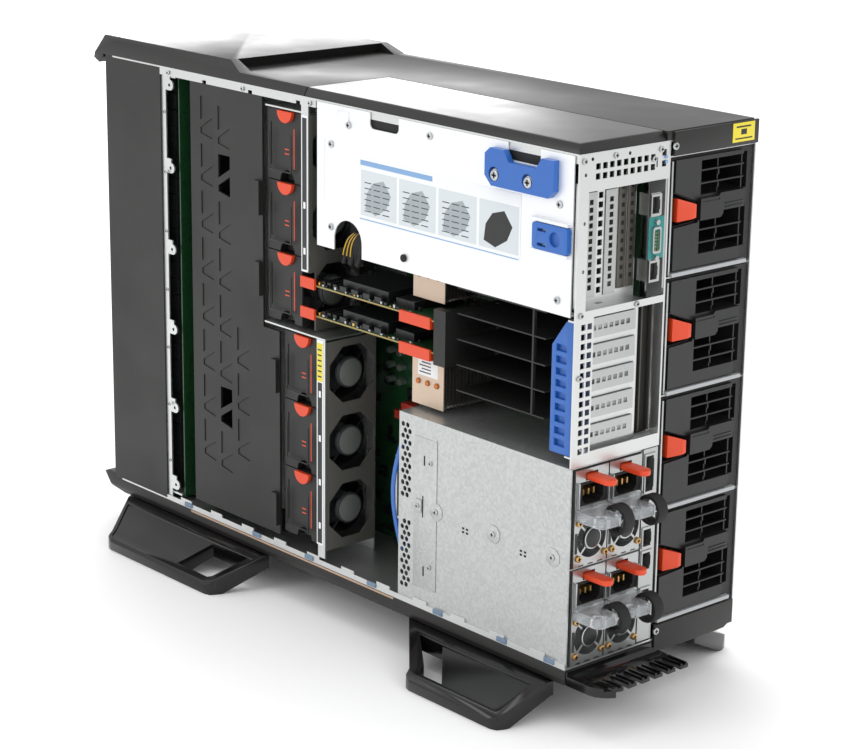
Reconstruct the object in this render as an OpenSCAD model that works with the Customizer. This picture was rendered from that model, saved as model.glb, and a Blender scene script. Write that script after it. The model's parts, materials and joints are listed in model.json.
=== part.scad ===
// Modular server chassis standing as a tower with its service side open.
// X runs from the drive face to the rear, Y from the open side to the far side, Z up.
// The origin lies on the floor, in the middle of the overall footprint.

/* [Steel body] */
// Length of the steel body from drive face to rear panel
body_l = 656; // [650:1:700]
// Width of the steel body as it stands
body_w = 208; // [206:1:230]
// Height of the steel body as it stands
body_h = 434; // [432:1:470]
// Thickness of the folded steel sheet
sheet = 1.5; // [1.2:0.1:1.8]
// Height of the steel body above the floor
ground_gap = 49; // [46:1:60]
// Width of the half that holds drives, fans, cards and power supplies
io_w = 104; // [103:0.5:108]
// Height of the folded flanges along the open side
flange_h = 8; // [6:0.5:10]

/* [Plastic covers] */
// Height of the top cover over the steel
cover_h = 8; // [6:0.5:12]
// How much higher the front part of the top cover is
front_rise = 9; // [6:0.5:12]
// How far a cover's sloped edge leans in
edge_lean = 4.5; // [3:0.5:6]
// How far the front lips stand out
lip_reach = 20; // [19:0.5:26]
// Length of the raised front part of the top cover
raised_l = 191; // [150:1:220]
// Distance from the drive face to the seam between the top covers
cover_seam = 310; // [290:1:330]
// Width of the slope at each end of the finger recess
cheek_w = 8; // [5:0.5:14]
// Wall thickness of the covers
cover_wall = 2.5; // [2:0.1:3]
// Length of the plastic strip that closes the open side at the front
strip_l = 91; // [86:1:92]
// Thickness of the front frame
frame_t = 12; // [10:0.5:14]
// Height of the base skirt
skirt_h = 15; // [12:0.5:18]

/* [Feet] */
// How far the body stands towards the closed side of the feet's middle
feet_offset = 13; // [8:0.5:20]
// How far the open feet reach past the body
foot_out = 53; // [45:1:53]
// Length of a front foot's outer edge
front_foot_l = 177; // [160:1:185]
// Length of a rear foot's outer edge
rear_foot_l = 122; // [110:1:126]
// Width of the raised rim of a foot
foot_rim = 9; // [7:0.5:12]
// Height of a foot's outer edge
foot_edge_h = 13; // [10:0.5:16]
// Radius of the pins that the feet turn on
foot_pin_r = 8; // [6:0.5:9]
// Distance of those pins from the side of the body
foot_pin_in = 13; // [12:0.5:15]

/* [Cable tray] */
// How far the cable tray reaches behind the body
tray_reach = 47; // [40:1:56]
// Thickness of the cable tray
tray_t = 3; // [2:0.1:4]
// Number of cable hooks on the tray's edge
tray_hooks = 6; // [4:1:6]

/* [Drives] */
// Number of drive carriers in the column
drive_count = 25; // [20:1:25]
// Depth of a drive carrier
drive_l = 96; // [90:1:98]
// Width of a drive carrier
drive_w = 73; // [69:0.5:75]
// Distance from the drive face to the drive backplane
backplane_u = 112; // [111:0.5:116]
// Thickness of the circuit boards
board_t = 1.6; // [1.2:0.1:2]

/* [Fans] */
// Width of a fan module along the body
fan_w = 51; // [48:0.5:52]
// Depth of a fan module from the open side
fan_d = 56; // [55:0.5:60]
// Space between the top fan module and the roof
fan_head = 16.6; // [15:0.1:20]
// Radius of the fans' air passage
fan_bore_r = 26; // [24:0.5:26.5]
// Distance from the drive face to the upper fans
fan_u = 252; // [252:1:256]
// How much further back the lower fans sit
fan_step = 24; // [22:0.5:26]
// Height of the lowest fan above the body's underside
fan_z = 18; // [14:0.5:20]
// Radius of a fan's hub
hub_r = 13; // [11:0.5:14]
// Radius of a fan's axle
axle_r = 2.5; // [2:0.1:3]
// Number of blades on a fan
blade_count = 7; // [5:1:9]
// Slope of a fan blade
blade_slope = 38; // [30:1:45]

/* [Air shroud] */
// Distance from the drive face to the shroud
shroud_u = 138; // [130:1:142]
// Depth of the shroud's side walls
shroud_d = 44; // [30:1:60]
// Height of one pair of stiffening pockets
pocket_pitch = 45; // [42:1:50]
// Width of a stiffening pocket
pocket_w = 18; // [15:0.5:20]

/* [Card cage] */
// Distance from the rear panel to the front edge of the card cover
card_cover_l = 327; // [322:1:328]
// Height of the card cover
card_cover_h = 129; // [120:1:135]
// Length of a storage controller card
raid_l = 176; // [150:1:178]
// Vertical spacing of the controller cards and of the heat sinks from them
raid_pitch = 28; // [27.5:0.5:30]
// Length of a heat sink along the body
sink_l = 39; // [34:1:44]
// Number of fins in a heat sink
sink_fins = 16; // [8:1:18]

/* [Power supplies] */
// Width of a power supply
psu_w = 38.6; // [37:0.1:38.8]
// Height of a power supply
psu_h = 84; // [80:0.5:84.5]
// Depth of a power supply
psu_l = 190; // [170:1:195]
// Length of the power supply cage
psu_cage_l = 214; // [212:1:220]
// How far a power supply handle stands out
psu_handle = 34; // [28:1:40]

/* [Blowers] */
// Number of blower modules
blower_count = 4; // [4:1:4]
// Depth of a blower module
blower_l = 128; // [110:1:132]
// Height of the steel ledge above and below the blowers
blower_ledge = 15; // [13:0.5:17]

/* [Server modules] */
// Depth of a server module
server_l = 480; // [450:1:484]

/* [Fits] */
// Gap between parts that seat on each other
seat_gap = 0.3; // [0.2:0.05:0.4]
// Gap beside parts that slide
slide_gap = 0.5; // [0.4:0.05:0.8]
// Radial clearance of pins and axles in their holes
run_gap = 0.05; // [0.02:0.01:0.08]

/* [Hidden] */
$fn = 32;
front = -(lip_reach + body_l + tray_reach) / 2 + lip_reach;
rear = front + body_l;
near = -body_w / 2 + feet_offset;
far = near + body_w;
mid = near + io_w;
z0 = ground_gap;
z1 = z0 + body_h;
cover_z = z1 + cover_h;
skirt_z = z0 - skirt_h;

charcoal = "#2e2e2d";
steel = "#c9cdd0";
orange = "#c8431f";
blue = "#3f6fb5";
board_green = "#1f4a2c";
black = "#181818";

// Gap between two bonded pieces of one part
bond = 0.2;

// A box between two corners.
module slab(lo, hi) {
    translate(lo) cube(hi - lo);
}

// A profile in Y and Z, drawn out along X from x_lo to x_hi.
module along_x(x_lo, x_hi, points) {
    translate([x_lo, 0, 0]) rotate([90, 0, 90]) linear_extrude(x_hi - x_lo) polygon(points);
}

// A profile in X and Z, drawn out along Y from y_lo to y_hi.
module along_y(y_lo, y_hi, points) {
    translate([0, y_hi, 0]) rotate([90, 0, 0]) linear_extrude(y_hi - y_lo) polygon(points);
}

// Lays a drawing in X and Z against the plane y, as deep as depth.
module on_side(y, depth) {
    translate([0, y + depth, 0]) rotate([90, 0, 0]) linear_extrude(depth) children();
}

// Lays a drawing in Y and Z against the plane x, as deep as depth.
module on_rear(x, depth) {
    translate([x - depth, 0, 0]) rotate([90, 0, 90]) linear_extrude(depth) children();
}

// A rectangle with rounded corners, given by two corners.
module round_rect(lo, hi, r) {
    for (x = [lo[0] + r, hi[0] - r], y = [lo[1] + r, hi[1] - r]) translate([x, y]) circle(r);
    translate([lo[0] + r, lo[1]]) square([hi[0] - lo[0] - 2 * r, hi[1] - lo[1]]);
    translate([lo[0], lo[1] + r]) square([hi[0] - lo[0], hi[1] - lo[1] - 2 * r]);
}

/* ---- steel shell ---- */
// Spacing of the cover hooks along the floor flange
hook_pitch = 50;
hook_w = 18;
module chassis_floor() color(steel) {
    slab([front + frame_t, near, z0], [rear, far, z0 + sheet]);
    slab([front + strip_l, near, z0], [rear, near + sheet, z0 + flange_h - 3]);
    for (x = [rear - 42 : -hook_pitch : front + strip_l + 20])
        slab([x, near, z0], [x + hook_w, near + sheet, z0 + flange_h]);
}

module chassis_roof() color(steel) {
    slab([front + frame_t, near, z1 - sheet], [rear, far, z1]);
    difference() {
        union() {
            slab([front + strip_l, near, z1 - flange_h], [cover_x0 - 2, near + sheet, z1 - sheet]);
            slab([cover_x0 - 3.5, near + sheet, z1 - flange_h], [rear - sheet, near + 2 * sheet, z1 - sheet]);
        }
        for (x = [cover_x0 - 30 : -70 : front + strip_l + 20])
            slab([x, near - 1, z1 - flange_h - 1], [x + 6, near + sheet + 1, z1 - flange_h + 3]);
    }
}

module chassis_side() color(steel)
    slab([front + frame_t, far - sheet, z0 + sheet], [rear, far, z1 - sheet]);

blower_pitch = (body_h - 2 * blower_ledge + 1) / blower_count;
blower_z = z0 + blower_ledge;
server_end = front + frame_t + server_l + 2;
shelf_t = 1.2;
module mid_wall() color(steel) {
    slab([front + frame_t, mid - sheet, z0 + sheet], [rear - sheet - slide_gap, mid, z1 - sheet]);
    for (i = [0 : blower_count])
        slab([rear - blower_l - 4, mid, blower_z + i * blower_pitch - shelf_t],
             [rear - 3, far - sheet, blower_z + i * blower_pitch]);
    // posts that carry the main board
    for (u = [352, 480, 620], z = [z0 + 30, z0 + 215, z1 - 25])
        translate([front + u, board_y + board_t, z]) rotate([-90, 0, 0])
            cylinder(r = 3, h = mid - sheet / 2 - board_y - board_t);
}

/* ---- plastic outside ---- */
drive_bay_y = near + 13;
drive_bay_w = drive_w + 1.2;
drive_bay_z = z0 + 10;
drive_bay_h = body_h - 20;
bay_rim = 6;
bay_head = 10;
module front_frame() color(charcoal) {
    difference() {
        slab([front, near, z0], [front + frame_t, far, z1]);
        slab([front - 1, drive_bay_y, drive_bay_z],
             [front + frame_t + 1, drive_bay_y + drive_bay_w, drive_bay_z + drive_bay_h]);
        slab([front - 1, mid + 1, z0 + bay_rim],
             [front + frame_t + 1, far - 3, z1 - bay_head]);
        translate([front - 1, near + 6.5, z1 - 40]) rotate([0, 90, 0])
            cylinder(r = button_r + run_gap, h = button_depth + 1);
    }
    slab([front + frame_t - 1, near, z0 + sheet + bond], [front + strip_l, near + sheet, z1 - sheet - bond]);
}

button_r = 4;
button_depth = 6;
button_travel = 1.5;
module power_button() color("#9aa0a4")
    translate([front - 0.6, near + 6.5, z1 - 40]) rotate([0, 90, 0]) {
        cylinder(r = button_r, h = button_depth + 0.6 - button_travel - seat_gap);
    }

// The skirt's outline from the side, with the lip at the drive face.
function skirt_side() = [
    [front - lip_reach + 1, z0 + 2], [front - 12, z0 + 5], [front - 0.2, z0 + 4], [front - 0.2, z0],
    [rear, z0], [rear, skirt_z + 3], [rear - 4, skirt_z], [front + 12, skirt_z], [front - 8, z0 - 11]];
pin_h = 12;
module base_skirt() color("#1c1c1c") {
    intersection() {
        along_y(near, far, skirt_side());
        along_x(front - lip_reach, rear + 1,
                [[near, z0 + 6], [near, z0 - 9], [near + 3, skirt_z],
                 [far - 16, skirt_z], [far - 1, z0 - 7], [far, z0 + 6]]);
    }
    for (x = [front_pivot_x, rear_pivot_x], y = [near + foot_pin_in, -near - foot_pin_in])
        translate([x, y, skirt_z - pin_h]) cylinder(r = foot_pin_r, h = pin_h + 1);
    // end plate that closes the foot of the blower side
    along_y(mid + 1, far - 3, [
        [rear - 1, skirt_z + 5.5], [rear + cover_wall, z0 - 8], [rear + cover_wall, blower_z - 1.5],
        [rear, blower_z - seat_gap], [rear, z0 - 2], [rear - 1, z0 - 2]]);
}

// The raised front's outline from the side: the lip hangs in front, the finger
// recess is cut back under the rear edge of the raised part.
function raised_side() = [
    [front, z1], [front - 4, z1], [front - 4, z1 - 3], [front - 11, z1 - 9],
    [front - lip_reach, z1 - 5], [front - 14, cover_z + front_rise],
    [front + raised_l, cover_z + front_rise], [front + raised_l - 6, cover_z], [front + raised_l - 6, z1]];
cheek_slope = 20;
lean_high = edge_lean * (cover_h + front_rise) / cover_h;
module top_cover_front() color(charcoal) difference() {
    union() {
        intersection() {
            union() {
                along_y(near, far, raised_side());
                for (y = [near, far - cheek_w - lean_high])
                    along_y(y, y + cheek_w + lean_high, [
                        [front + raised_l - 10, z1], [front + raised_l - 10, cover_z + front_rise],
                        [front + raised_l, cover_z + front_rise],
                        [front + raised_l + cheek_slope, cover_z], [front + raised_l + cheek_slope, z1]]);
            }
            along_x(front - lip_reach - 1, rear, [
                [near, z1 - 10], [near, z1], [near + lean_high, cover_z + front_rise],
                [far - lean_high, cover_z + front_rise], [far, z1], [far, z1 - 10]]);
        }
        along_x(front + raised_l - 8, front + cover_seam, [
            [near, z1], [near + edge_lean, cover_z], [far - edge_lean, cover_z], [far, z1]]);
        along_x(front + cover_seam - 1, rear, [
            [mid - 5, z1], [mid - 5, cover_z], [far - edge_lean, cover_z], [far, z1]]);
        slab([rear, mid + 1.5, z1 - 13], [rear + cover_wall, far - 0.5, cover_z - 1]);
    }
    slab([front + 6, near + edge_lean + cover_wall, z1 - 1],
         [front + raised_l - 14, far - edge_lean - cover_wall, cover_z - cover_wall + front_rise - 2]);
    slab([front + raised_l + 2, near + edge_lean + cover_wall, z1 - 1],
         [front + cover_seam - 4, far - edge_lean - cover_wall, cover_z - cover_wall]);
    slab([front + cover_seam - 5, mid - 2, z1 - 1],
         [rear - 4, far - edge_lean - cover_wall, cover_z - cover_wall]);
}

module top_cover_rear() color(charcoal) difference() {
    intersection() {
        along_y(near, mid - 5 - seat_gap, [
            [front + cover_seam + seat_gap, z1], [front + cover_seam + seat_gap, cover_z],
            [rear - edge_lean, cover_z], [rear, z1]]);
        along_x(front, rear + 1, [
            [near, z1], [near + edge_lean, cover_z], [mid, cover_z], [mid, z1]]);
    }
    slab([front + cover_seam + 4, near + edge_lean + cover_wall, z1 - 1],
         [rear - edge_lean - cover_wall, mid - 9, cover_z - cover_wall]);
}

/* ---- feet ---- */
foot_top = skirt_z - seat_gap;
front_pivot_x = front + 131;
rear_pivot_x = rear - 98;
foot_plate_t = 13;
// A foot is a sloping plate. Its outer edge starts at x_lo and is len long, and its sides
// flare out towards the body. This outline is drawn in by inset all round.
module foot_outline(x_lo, len, flare, inset) {
    outer_y = near - foot_out + inset;
    base_y = near + 4;
    polygon([
        [x_lo + 12 + inset * 0.4, outer_y], [x_lo + len - 12 - inset * 0.4, outer_y],
        [x_lo + len - 3.5 - inset * 0.9, outer_y + 3], [x_lo + len - inset, outer_y + 10],
        [x_lo + len + flare[1] - inset * 1.3, base_y], [x_lo - flare[0] + inset * 1.3, base_y],
        [x_lo + inset, outer_y + 10], [x_lo + 3.5 + inset * 0.9, outer_y + 3]]);
}
// The strip of a foot that is open: side is -1 at its front end and 1 at its rear end,
// w is how wide it is at the outer edge and at the body.
module foot_window(x_lo, len, flare, side, w) {
    at_edge = side < 0 ? x_lo + w[0] : x_lo + len - w[0];
    at_body = side < 0 ? x_lo - flare[0] + w[1] : x_lo + len + flare[1] - w[1];
    polygon([[at_edge, near - foot_out], [at_body, near - foot_rim],
             [at_body + side * len, near - foot_rim], [at_edge + side * len, near - foot_out]]);
}
// recess is how far in from the outline the panel starts, and how deep it lies.
module foot(pivot_x, x_lo, len, flare, side, window, recess) {
    outer_y = near - foot_out;
    hub_y = near + foot_pin_in;
    inner_y = hub_y + foot_pin_r + 5;
    x_a = x_lo - flare[0] - 1;
    x_b = x_lo + len + flare[1] + 1;
    difference() {
        intersection() {
            linear_extrude(foot_top) {
                foot_outline(x_lo, len, flare, 0);
                polygon([[x_b - 1, near + 4], [pivot_x + 34, inner_y], [pivot_x - 34, inner_y], [x_a + 1, near + 4]]);
            }
            along_x(x_a, x_b, [
                [outer_y + 1, 0], [outer_y, 3], [outer_y, foot_edge_h - 4], [outer_y + 4, foot_edge_h],
                [near - 2, foot_top], [inner_y, foot_top], [inner_y, foot_top - foot_plate_t],
                [near + 2, foot_top - foot_plate_t], [outer_y + foot_rim + 5, 0]]);
        }
        // the panel inside the rim lies a little lower
        intersection() {
            linear_extrude(foot_top + 1) foot_outline(x_lo, len, flare, recess[0]);
            along_x(x_a, x_b, [
                [outer_y, foot_edge_h - recess[1] - 2], [near - foot_rim, foot_top - recess[1] - 4],
                [near - foot_rim, foot_top + 1], [outer_y, foot_top + 1]]);
        }
        // the open window
        translate([0, 0, -1]) linear_extrude(foot_top + 2) intersection() {
            foot_outline(x_lo, len, flare, foot_rim);
            foot_window(x_lo, len, flare, side, window);
        }
        translate([pivot_x, hub_y, -1]) cylinder(r = foot_pin_r + run_gap, h = foot_top + 2);
    }
}
module front_foot()
    foot(front_pivot_x, front + 55.5, front_foot_l, [35, 19], 1, [67, 72], [3, 0.8]);
module rear_foot()
    foot(rear_pivot_x, rear - 24.5 - rear_foot_l, rear_foot_l, [55, 8], -1, [53, 60], [foot_rim, 2]);
module foot_front_near() color(black) front_foot();
// the far feet mirror the near ones about the plane in the middle of the base
module foot_front_far() color(black) mirror([0, 1, 0]) front_foot();
module foot_rear_near() color(black) rear_foot();
module foot_rear_far() color(black) mirror([0, 1, 0]) rear_foot();

/* ---- cable tray ---- */
tray_z = skirt_z + 7;
hook_l = 20;
hook_gap_w = 6;
tray_corner = 22;
module cable_tray() color(black) {
    edge = rear + tray_reach;
    y_lo = near + 1;
    y_hi = mid - 2;
    pitch = 93.6 / tray_hooks;
    hook_y = [for (i = [0 : tray_hooks - 1]) y_hi - 2 - (pitch - hook_gap_w) / 2 - i * pitch];
    difference() {
        translate([0, 0, tray_z]) linear_extrude(tray_t) {
            translate([rear, y_lo + tray_corner]) square([tray_reach, y_hi - y_lo - tray_corner - 2]);
            translate([rear, y_lo]) square([tray_reach - tray_corner - 4, y_hi - y_lo]);
            translate([rear + 1, y_lo]) square([tray_reach - tray_corner - 1, tray_corner + 1]);
            translate([edge - tray_corner, y_lo + tray_corner]) circle(r = tray_corner);
        }
        for (y = hook_y) translate([0, y - pitch / 2, tray_z - 1]) {
            slab([edge - hook_l, -hook_gap_w / 2, 0], [edge + 1, hook_gap_w / 2, tray_t + 2]);
            translate([edge - hook_l, 0, 0]) cylinder(r = hook_gap_w / 2, h = tray_t + 2);
        }
    }
    // ridges along both edges of each hook, and the apron under the rounded corner
    for (y = hook_y, side = [-1, 1])
        slab([edge - hook_l - 2, y + side * 3 - 1, tray_z + tray_t], [edge - 0.5, y + side * 3 + 1, tray_z + tray_t + 1.6]);
    difference() {
        translate([0, 0, tray_z - 5]) linear_extrude(6) {
            translate([rear, y_lo]) square([tray_reach - tray_corner, tray_corner]);
            intersection() {
                translate([edge - tray_corner, y_lo + tray_corner]) circle(r = tray_corner);
                translate([edge - tray_corner, y_lo]) square([tray_corner, tray_corner - 8]);
            }
        }
        translate([0, 0, tray_z - 6]) linear_extrude(6) {
            translate([rear - 1, y_lo + 2]) square([tray_reach - tray_corner + 1, tray_corner]);
            translate([edge - tray_corner, y_lo + tray_corner]) circle(r = tray_corner - 2);
        }
    }
    slab([rear, y_lo, tray_z], [rear + 2, y_hi, z0 - 1]);
}

/* ---- rear panel, slots and ports ---- */
square_hole = 5;
square_pitch = 7.8;
psu_top = z0 + 175;
low_slot_z = z0 + 181;
high_slot_z = z0 + 306;
slot_z_top = z0 + 403;
cards_y0 = near + 20;
cards_y1 = near + 80;
io_y0 = near + 80;
io_y1 = mid - 2.5;
recess_d = 14;
low_slots = 5;
low_slot_pitch = 22.5;
module holes(ys, zs, size) {
    for (y = ys, z = zs) translate([y - size / 2, z - size / 2]) square(size);
}
module rear_panel() color(steel) {
    on_rear(rear, sheet) difference() {
        translate([near, psu_top + 1]) square([mid - 0.5 - near, z1 - sheet - psu_top - 1]);
        translate([near + 11, high_slot_z]) square([io_y1 - near - 11, slot_z_top - high_slot_z]);
        translate([near + 21, low_slot_z + 6]) square([io_y1 - near - 21, 113]);
        holes([for (i = [0 : 8]) near + 20.5 + i * square_pitch], [z1 - 11.5, z1 - 19.5], square_hole);
        holes([mid - 8], [z1 - 9, z1 - 18], square_hole);
        translate([mid - 17, z1 - 20]) square([1.5, 8]);
        holes([near + 9.5, near + 16.5], [for (i = [0 : 13]) low_slot_z + 8 + i * 8], square_hole);
        for (z = [z1 - 17, z1 - 56, z1 - 95]) translate([near + 7, z]) circle(r = 1.5, $fn = 20);
        for (y = [near + 14, near + 56, mid - 11]) translate([y, z1 - 5]) circle(r = 1.5, $fn = 20);
    }
    // the sunk frame that the upper slot covers close
    difference() {
        slab([rear - recess_d, near + 11, high_slot_z - sheet], [rear - sheet, io_y0, high_slot_z]);
        slab([rear - recess_d - 1, near + 36, high_slot_z - 3], [rear - recess_d + 2, near + 44, high_slot_z + 1]);
    }
    on_rear(rear - recess_d, sheet) difference() {
        translate([near + 11, high_slot_z - sheet]) square([io_y0 - near - 11, slot_z_top - high_slot_z + 6]);
        for (y = [near + 20.5, near + 43.5])
            translate([y, high_slot_z + 6]) square([14, slot_z_top - high_slot_z - 10]);
        holes([near + 15.5, near + 39], [for (i = [0 : 10]) high_slot_z + 11 + i * 7.8], square_hole);
    }
    // hinge pin of the card clip between its two brackets
    for (z = [clip_z0 - seat_gap - sheet, clip_z0 + clip_h + seat_gap])
        slab([rear - 12, near + 4, z], [rear - sheet, near + 12, z + sheet]);
    translate([clip_pivot[0], clip_pivot[1], clip_z0 - 1]) cylinder(r = clip_pin_r, h = clip_h + 2);
    // the folded edge below the lower slots
    along_y(near + 21, mid - 3, [
        [rear - sheet, psu_top + 2], [rear - 12, psu_top + 10], [rear - 12, psu_top + 10 + sheet],
        [rear, psu_top + 2 + sheet], [rear, psu_top + 1], [rear - sheet, psu_top + 1]]);
    // contact strips between the lower slots
    for (i = [0 : low_slots])
        slab([rear - 9, near + 21, low_slot_z + 4 + i * low_slot_pitch],
             [rear - 7.5, near + 76, low_slot_z + 4 + i * low_slot_pitch + 5]);
    slab([rear - 9, near + 76, low_slot_z + 4], [rear - 7.5, near + 80, low_slot_z + 121.5]);
    slab([rear - 9, near + 19.5, low_slot_z + 4], [rear - sheet, near + 21, low_slot_z + 121.5]);
}

cover_t = 1;
module slot_cover(y_lo, y_hi, z_lo, z_hi, x, count, upright) {
    size = square_hole - 0.8;
    on_rear(x + 4, cover_t + 3) difference() {
        translate([y_lo, z_lo]) square([y_hi - y_lo, z_hi - z_lo]);
        if (upright)
            holes([(y_lo + y_hi) / 2], [for (i = [0 : count - 1]) z_lo + 8 + i * (z_hi - z_lo - 16) / (count - 1)], size);
        else
            holes([for (i = [0 : count - 1]) y_lo + 5 + i * (y_hi - y_lo - 14) / (count - 1)], [(z_lo + z_hi) / 2], size);
    }
}
module slot_covers() color("#aeb4b8") {
    for (y = [near + 21, near + 44])
        slot_cover(y, y + 13, high_slot_z + 6.5, slot_z_top - 4.5, rear - recess_d - 3, 12, true);
    for (i = [0 : low_slots - 1])
        slot_cover(near + 22, near + 75, low_slot_z + 9.5 + i * low_slot_pitch,
                   low_slot_z + 26 + i * low_slot_pitch, rear - 9, 7, false);
}

// A modular socket's metal frame around its opening.
module jack(y, z, w, h, depth) {
    on_rear(rear + 1.2, depth) difference() {
        translate([y, z]) square([w, h]);
        translate([y + 1.2, z + 2]) square([w - 4, h - 4]);
        translate([y + w - 4, z + 5]) square([2, h - 10]);
    }
}
net_w = 13;
io_zs = [z0 + 375, z0 + 320];
net_zs = [z0 + 137, z0 + 88, z0 + 67, z0 + 34];
module rear_io() color("#6e7276") {
    // management plate with its sockets
    on_rear(rear, 1.5) difference() {
        translate([io_y0 + 0.5, high_slot_z + 6]) square([io_y1 - io_y0 - 1, slot_z_top - high_slot_z - 6]);
        for (z = io_zs) translate([io_y0 + 3, z]) square([10, 16]);
        translate([io_y0 + 4, z0 + 343]) square([9, 22]);
        for (z = [z0 + 397, z0 + 312], y = [io_y0 + 5, io_y0 + 8]) translate([y, z]) circle(r = 1);
    }
    for (z = io_zs) jack(io_y0 + 2, z - 1, 12, 18, 14);
    difference() {
        on_rear(rear + 3, 6) round_rect([io_y0 + 3.5, z0 + 343], [io_y0 + 13, z0 + 365], 2);
        on_rear(rear + 4, 5) round_rect([io_y0 + 5, z0 + 345], [io_y0 + 11.5, z0 + 363], 1.5);
    }
    for (z = [z0 + 339, z0 + 369]) translate([rear, io_y0 + 8, z]) rotate([0, 90, 0]) cylinder(r = 2.2, h = 4);
    // network column beside the power supplies
    on_rear(rear, 1.5) difference() {
        translate([io_y0 + 5.5, z0 + 3]) square([mid - sheet - io_y0 - 5.5, psu_top - z0 - 3]);
        for (z = net_zs) translate([io_y0 + 7.5, z]) square([11, z == net_zs[0] ? 33 : 17]);
    }
    for (z = net_zs) jack(io_y0 + 6.5, z - 1, 13, z == net_zs[0] ? 35 : 19, 12);
    slab([rear - 90, io_y0 + 7.5, z0 + 3], [rear - 11, io_y0 + 9.1, psu_top - 2]);
    for (z = net_zs) slab([rear - 11, io_y0 + 7.5, z], [rear - 1.5, io_y0 + 9.1, z + 10]);
}

/* ---- boards ---- */
board_y = mid - 9;
module circuit_boards() color(board_green) {
    // drive backplane with its connectors
    slab([front + backplane_u, near + 6, z0 + 7], [front + backplane_u + board_t, mid - 5, z1 - 7]);
    for (i = [0 : 2 : 12])
        slab([front + backplane_u + board_t + bond, near + 40, z0 + 24 + i * 31],
             [front + backplane_u + board_t + 9, near + 62, z0 + 30 + i * 31]);
    // main board with its card sockets and memory
    slab([front + 342, board_y, z0 + 10], [rear - 22, board_y + board_t, z1 - 8]);
    for (i = [0 : low_slots - 1])
        slab([guide_x + 33, board_y - 11, low_slot_z + 15 + i * low_slot_pitch],
             [rear - 70, board_y - bond, low_slot_z + 22 + i * low_slot_pitch]);
    for (i = [0 : 5])
        slab([front + 350, board_y - 8, z0 + 22 + i * 9], [front + 430, board_y - bond, z0 + 26 + i * 9]);
    // server midplane with its connectors
    slab([server_end, mid, z0 + 8], [server_end + 3, far - sheet, z1 - 8]);
    for (z = [z0 + 60, z0 + 260])
        slab([server_end + 3 + bond, mid + 20, z], [server_end + 12, mid + 80, z + 40]);
}

/* ---- drive cage and carriers ---- */
ear_zs = [for (i = [0 : 5]) z0 + 20 + i * (body_h - 35) / 5];
module drive_cage() color(steel) {
    x_hi = front + backplane_u;
    slab([front + frame_t, near + sheet, z0 + sheet], [front + strip_l + 7, near + 2 * sheet, z1 - sheet]);
    for (z = [drive_bay_z - 2, drive_bay_z + drive_bay_h])
        slab([front + frame_t, near + 2 * sheet, z], [x_hi, mid - sheet, z + 2]);
    for (z = ear_zs) on_side(near + sheet, sheet) difference() {
        union() {
            translate([front + strip_l + 6, z - 7]) square([8, 14]);
            translate([front + strip_l + 14, z - 2]) circle(r = 5);
        }
        translate([front + strip_l + 13, z - 2]) circle(r = 1.6);
    }
}

drive_pitch = drive_bay_h / 25;
module drive_carriers() color("#3a3d40")
    for (i = [0 : drive_count - 1]) translate([front, drive_bay_y + 0.6, drive_bay_z + i * drive_pitch]) {
        h = drive_pitch - 0.8;
        difference() {
            slab([1, 0, 0.4], [drive_l + 1, drive_w, 0.4 + h]);
            slab([0, 3, 2.4], [4, 20, h - 1.6]);
            slab([0, 26, 3.4], [6, drive_w - 4, h - 2.6]);
        }
        for (y = [30 : 7 : drive_w - 8]) slab([2, y, 3], [4, y + 3, h - 2]);
    }

/* ---- fans ---- */
fan_gap_z = 7;
fan_pitch = (body_h - fan_z - fan_gap_z - fan_head) / 6;
fan_h = fan_pitch - 1;
fan_face = near + 4;
fan_back = fan_face + fan_d;
fan_mid = fan_face + fan_d / 2;
function fan_x(i) = front + fan_u + (i < 3 ? fan_step : 0);
function fan_bottom(i) = z0 + fan_z + i * fan_pitch + (i < 3 ? 0 : fan_gap_z);
grip_u = 19;
grip_r = 10.5;
stator_t = 4;
axle_l = 40;
module fan(i) translate([fan_x(i), 0, fan_bottom(i)]) {
    c = [fan_w / 2, fan_mid, fan_h / 2];
    difference() {
        slab([0.5, fan_face, 0], [fan_w - 0.5, fan_back, fan_h]);
        translate([-1, c[1], c[2]]) rotate([0, 90, 0]) cylinder(r = fan_bore_r, h = fan_w + 2);
        // finger hole at the foot of the face
        on_side(fan_face - 1, 9) {
            translate([grip_u + grip_r, -1]) square([2 * grip_r, 2], center = true);
            intersection() {
                translate([grip_u + grip_r, 0]) circle(r = grip_r);
                translate([grip_u, 0]) square([2 * grip_r, grip_r]);
            }
        }
        // shallow line pocket along the face
        on_side(fan_face - 1, 1.6) translate([5.5, 13]) square([2, 39]);
    }
    // struts and the axle that the rotor turns on
    translate([1.5, c[1], c[2]]) for (a = [0, 120, 240]) rotate([a, 0, 0])
        slab([0, -1.5, 0], [stator_t, 1.5, fan_bore_r + 0.5]);
    translate([1.5, c[1], c[2]]) rotate([0, 90, 0]) {
        cylinder(r = hub_r - 1, h = stator_t);
        cylinder(r = axle_r, h = axle_l);
    }
    // release grip at the head of the face
    color(orange) on_side(fan_face - bond - 3.5, 3.5) intersection() {
        translate([grip_u + grip_r, fan_h]) circle(r = grip_r);
        translate([grip_u, fan_h - grip_r]) square([2 * grip_r, grip_r]);
    }
}

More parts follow.
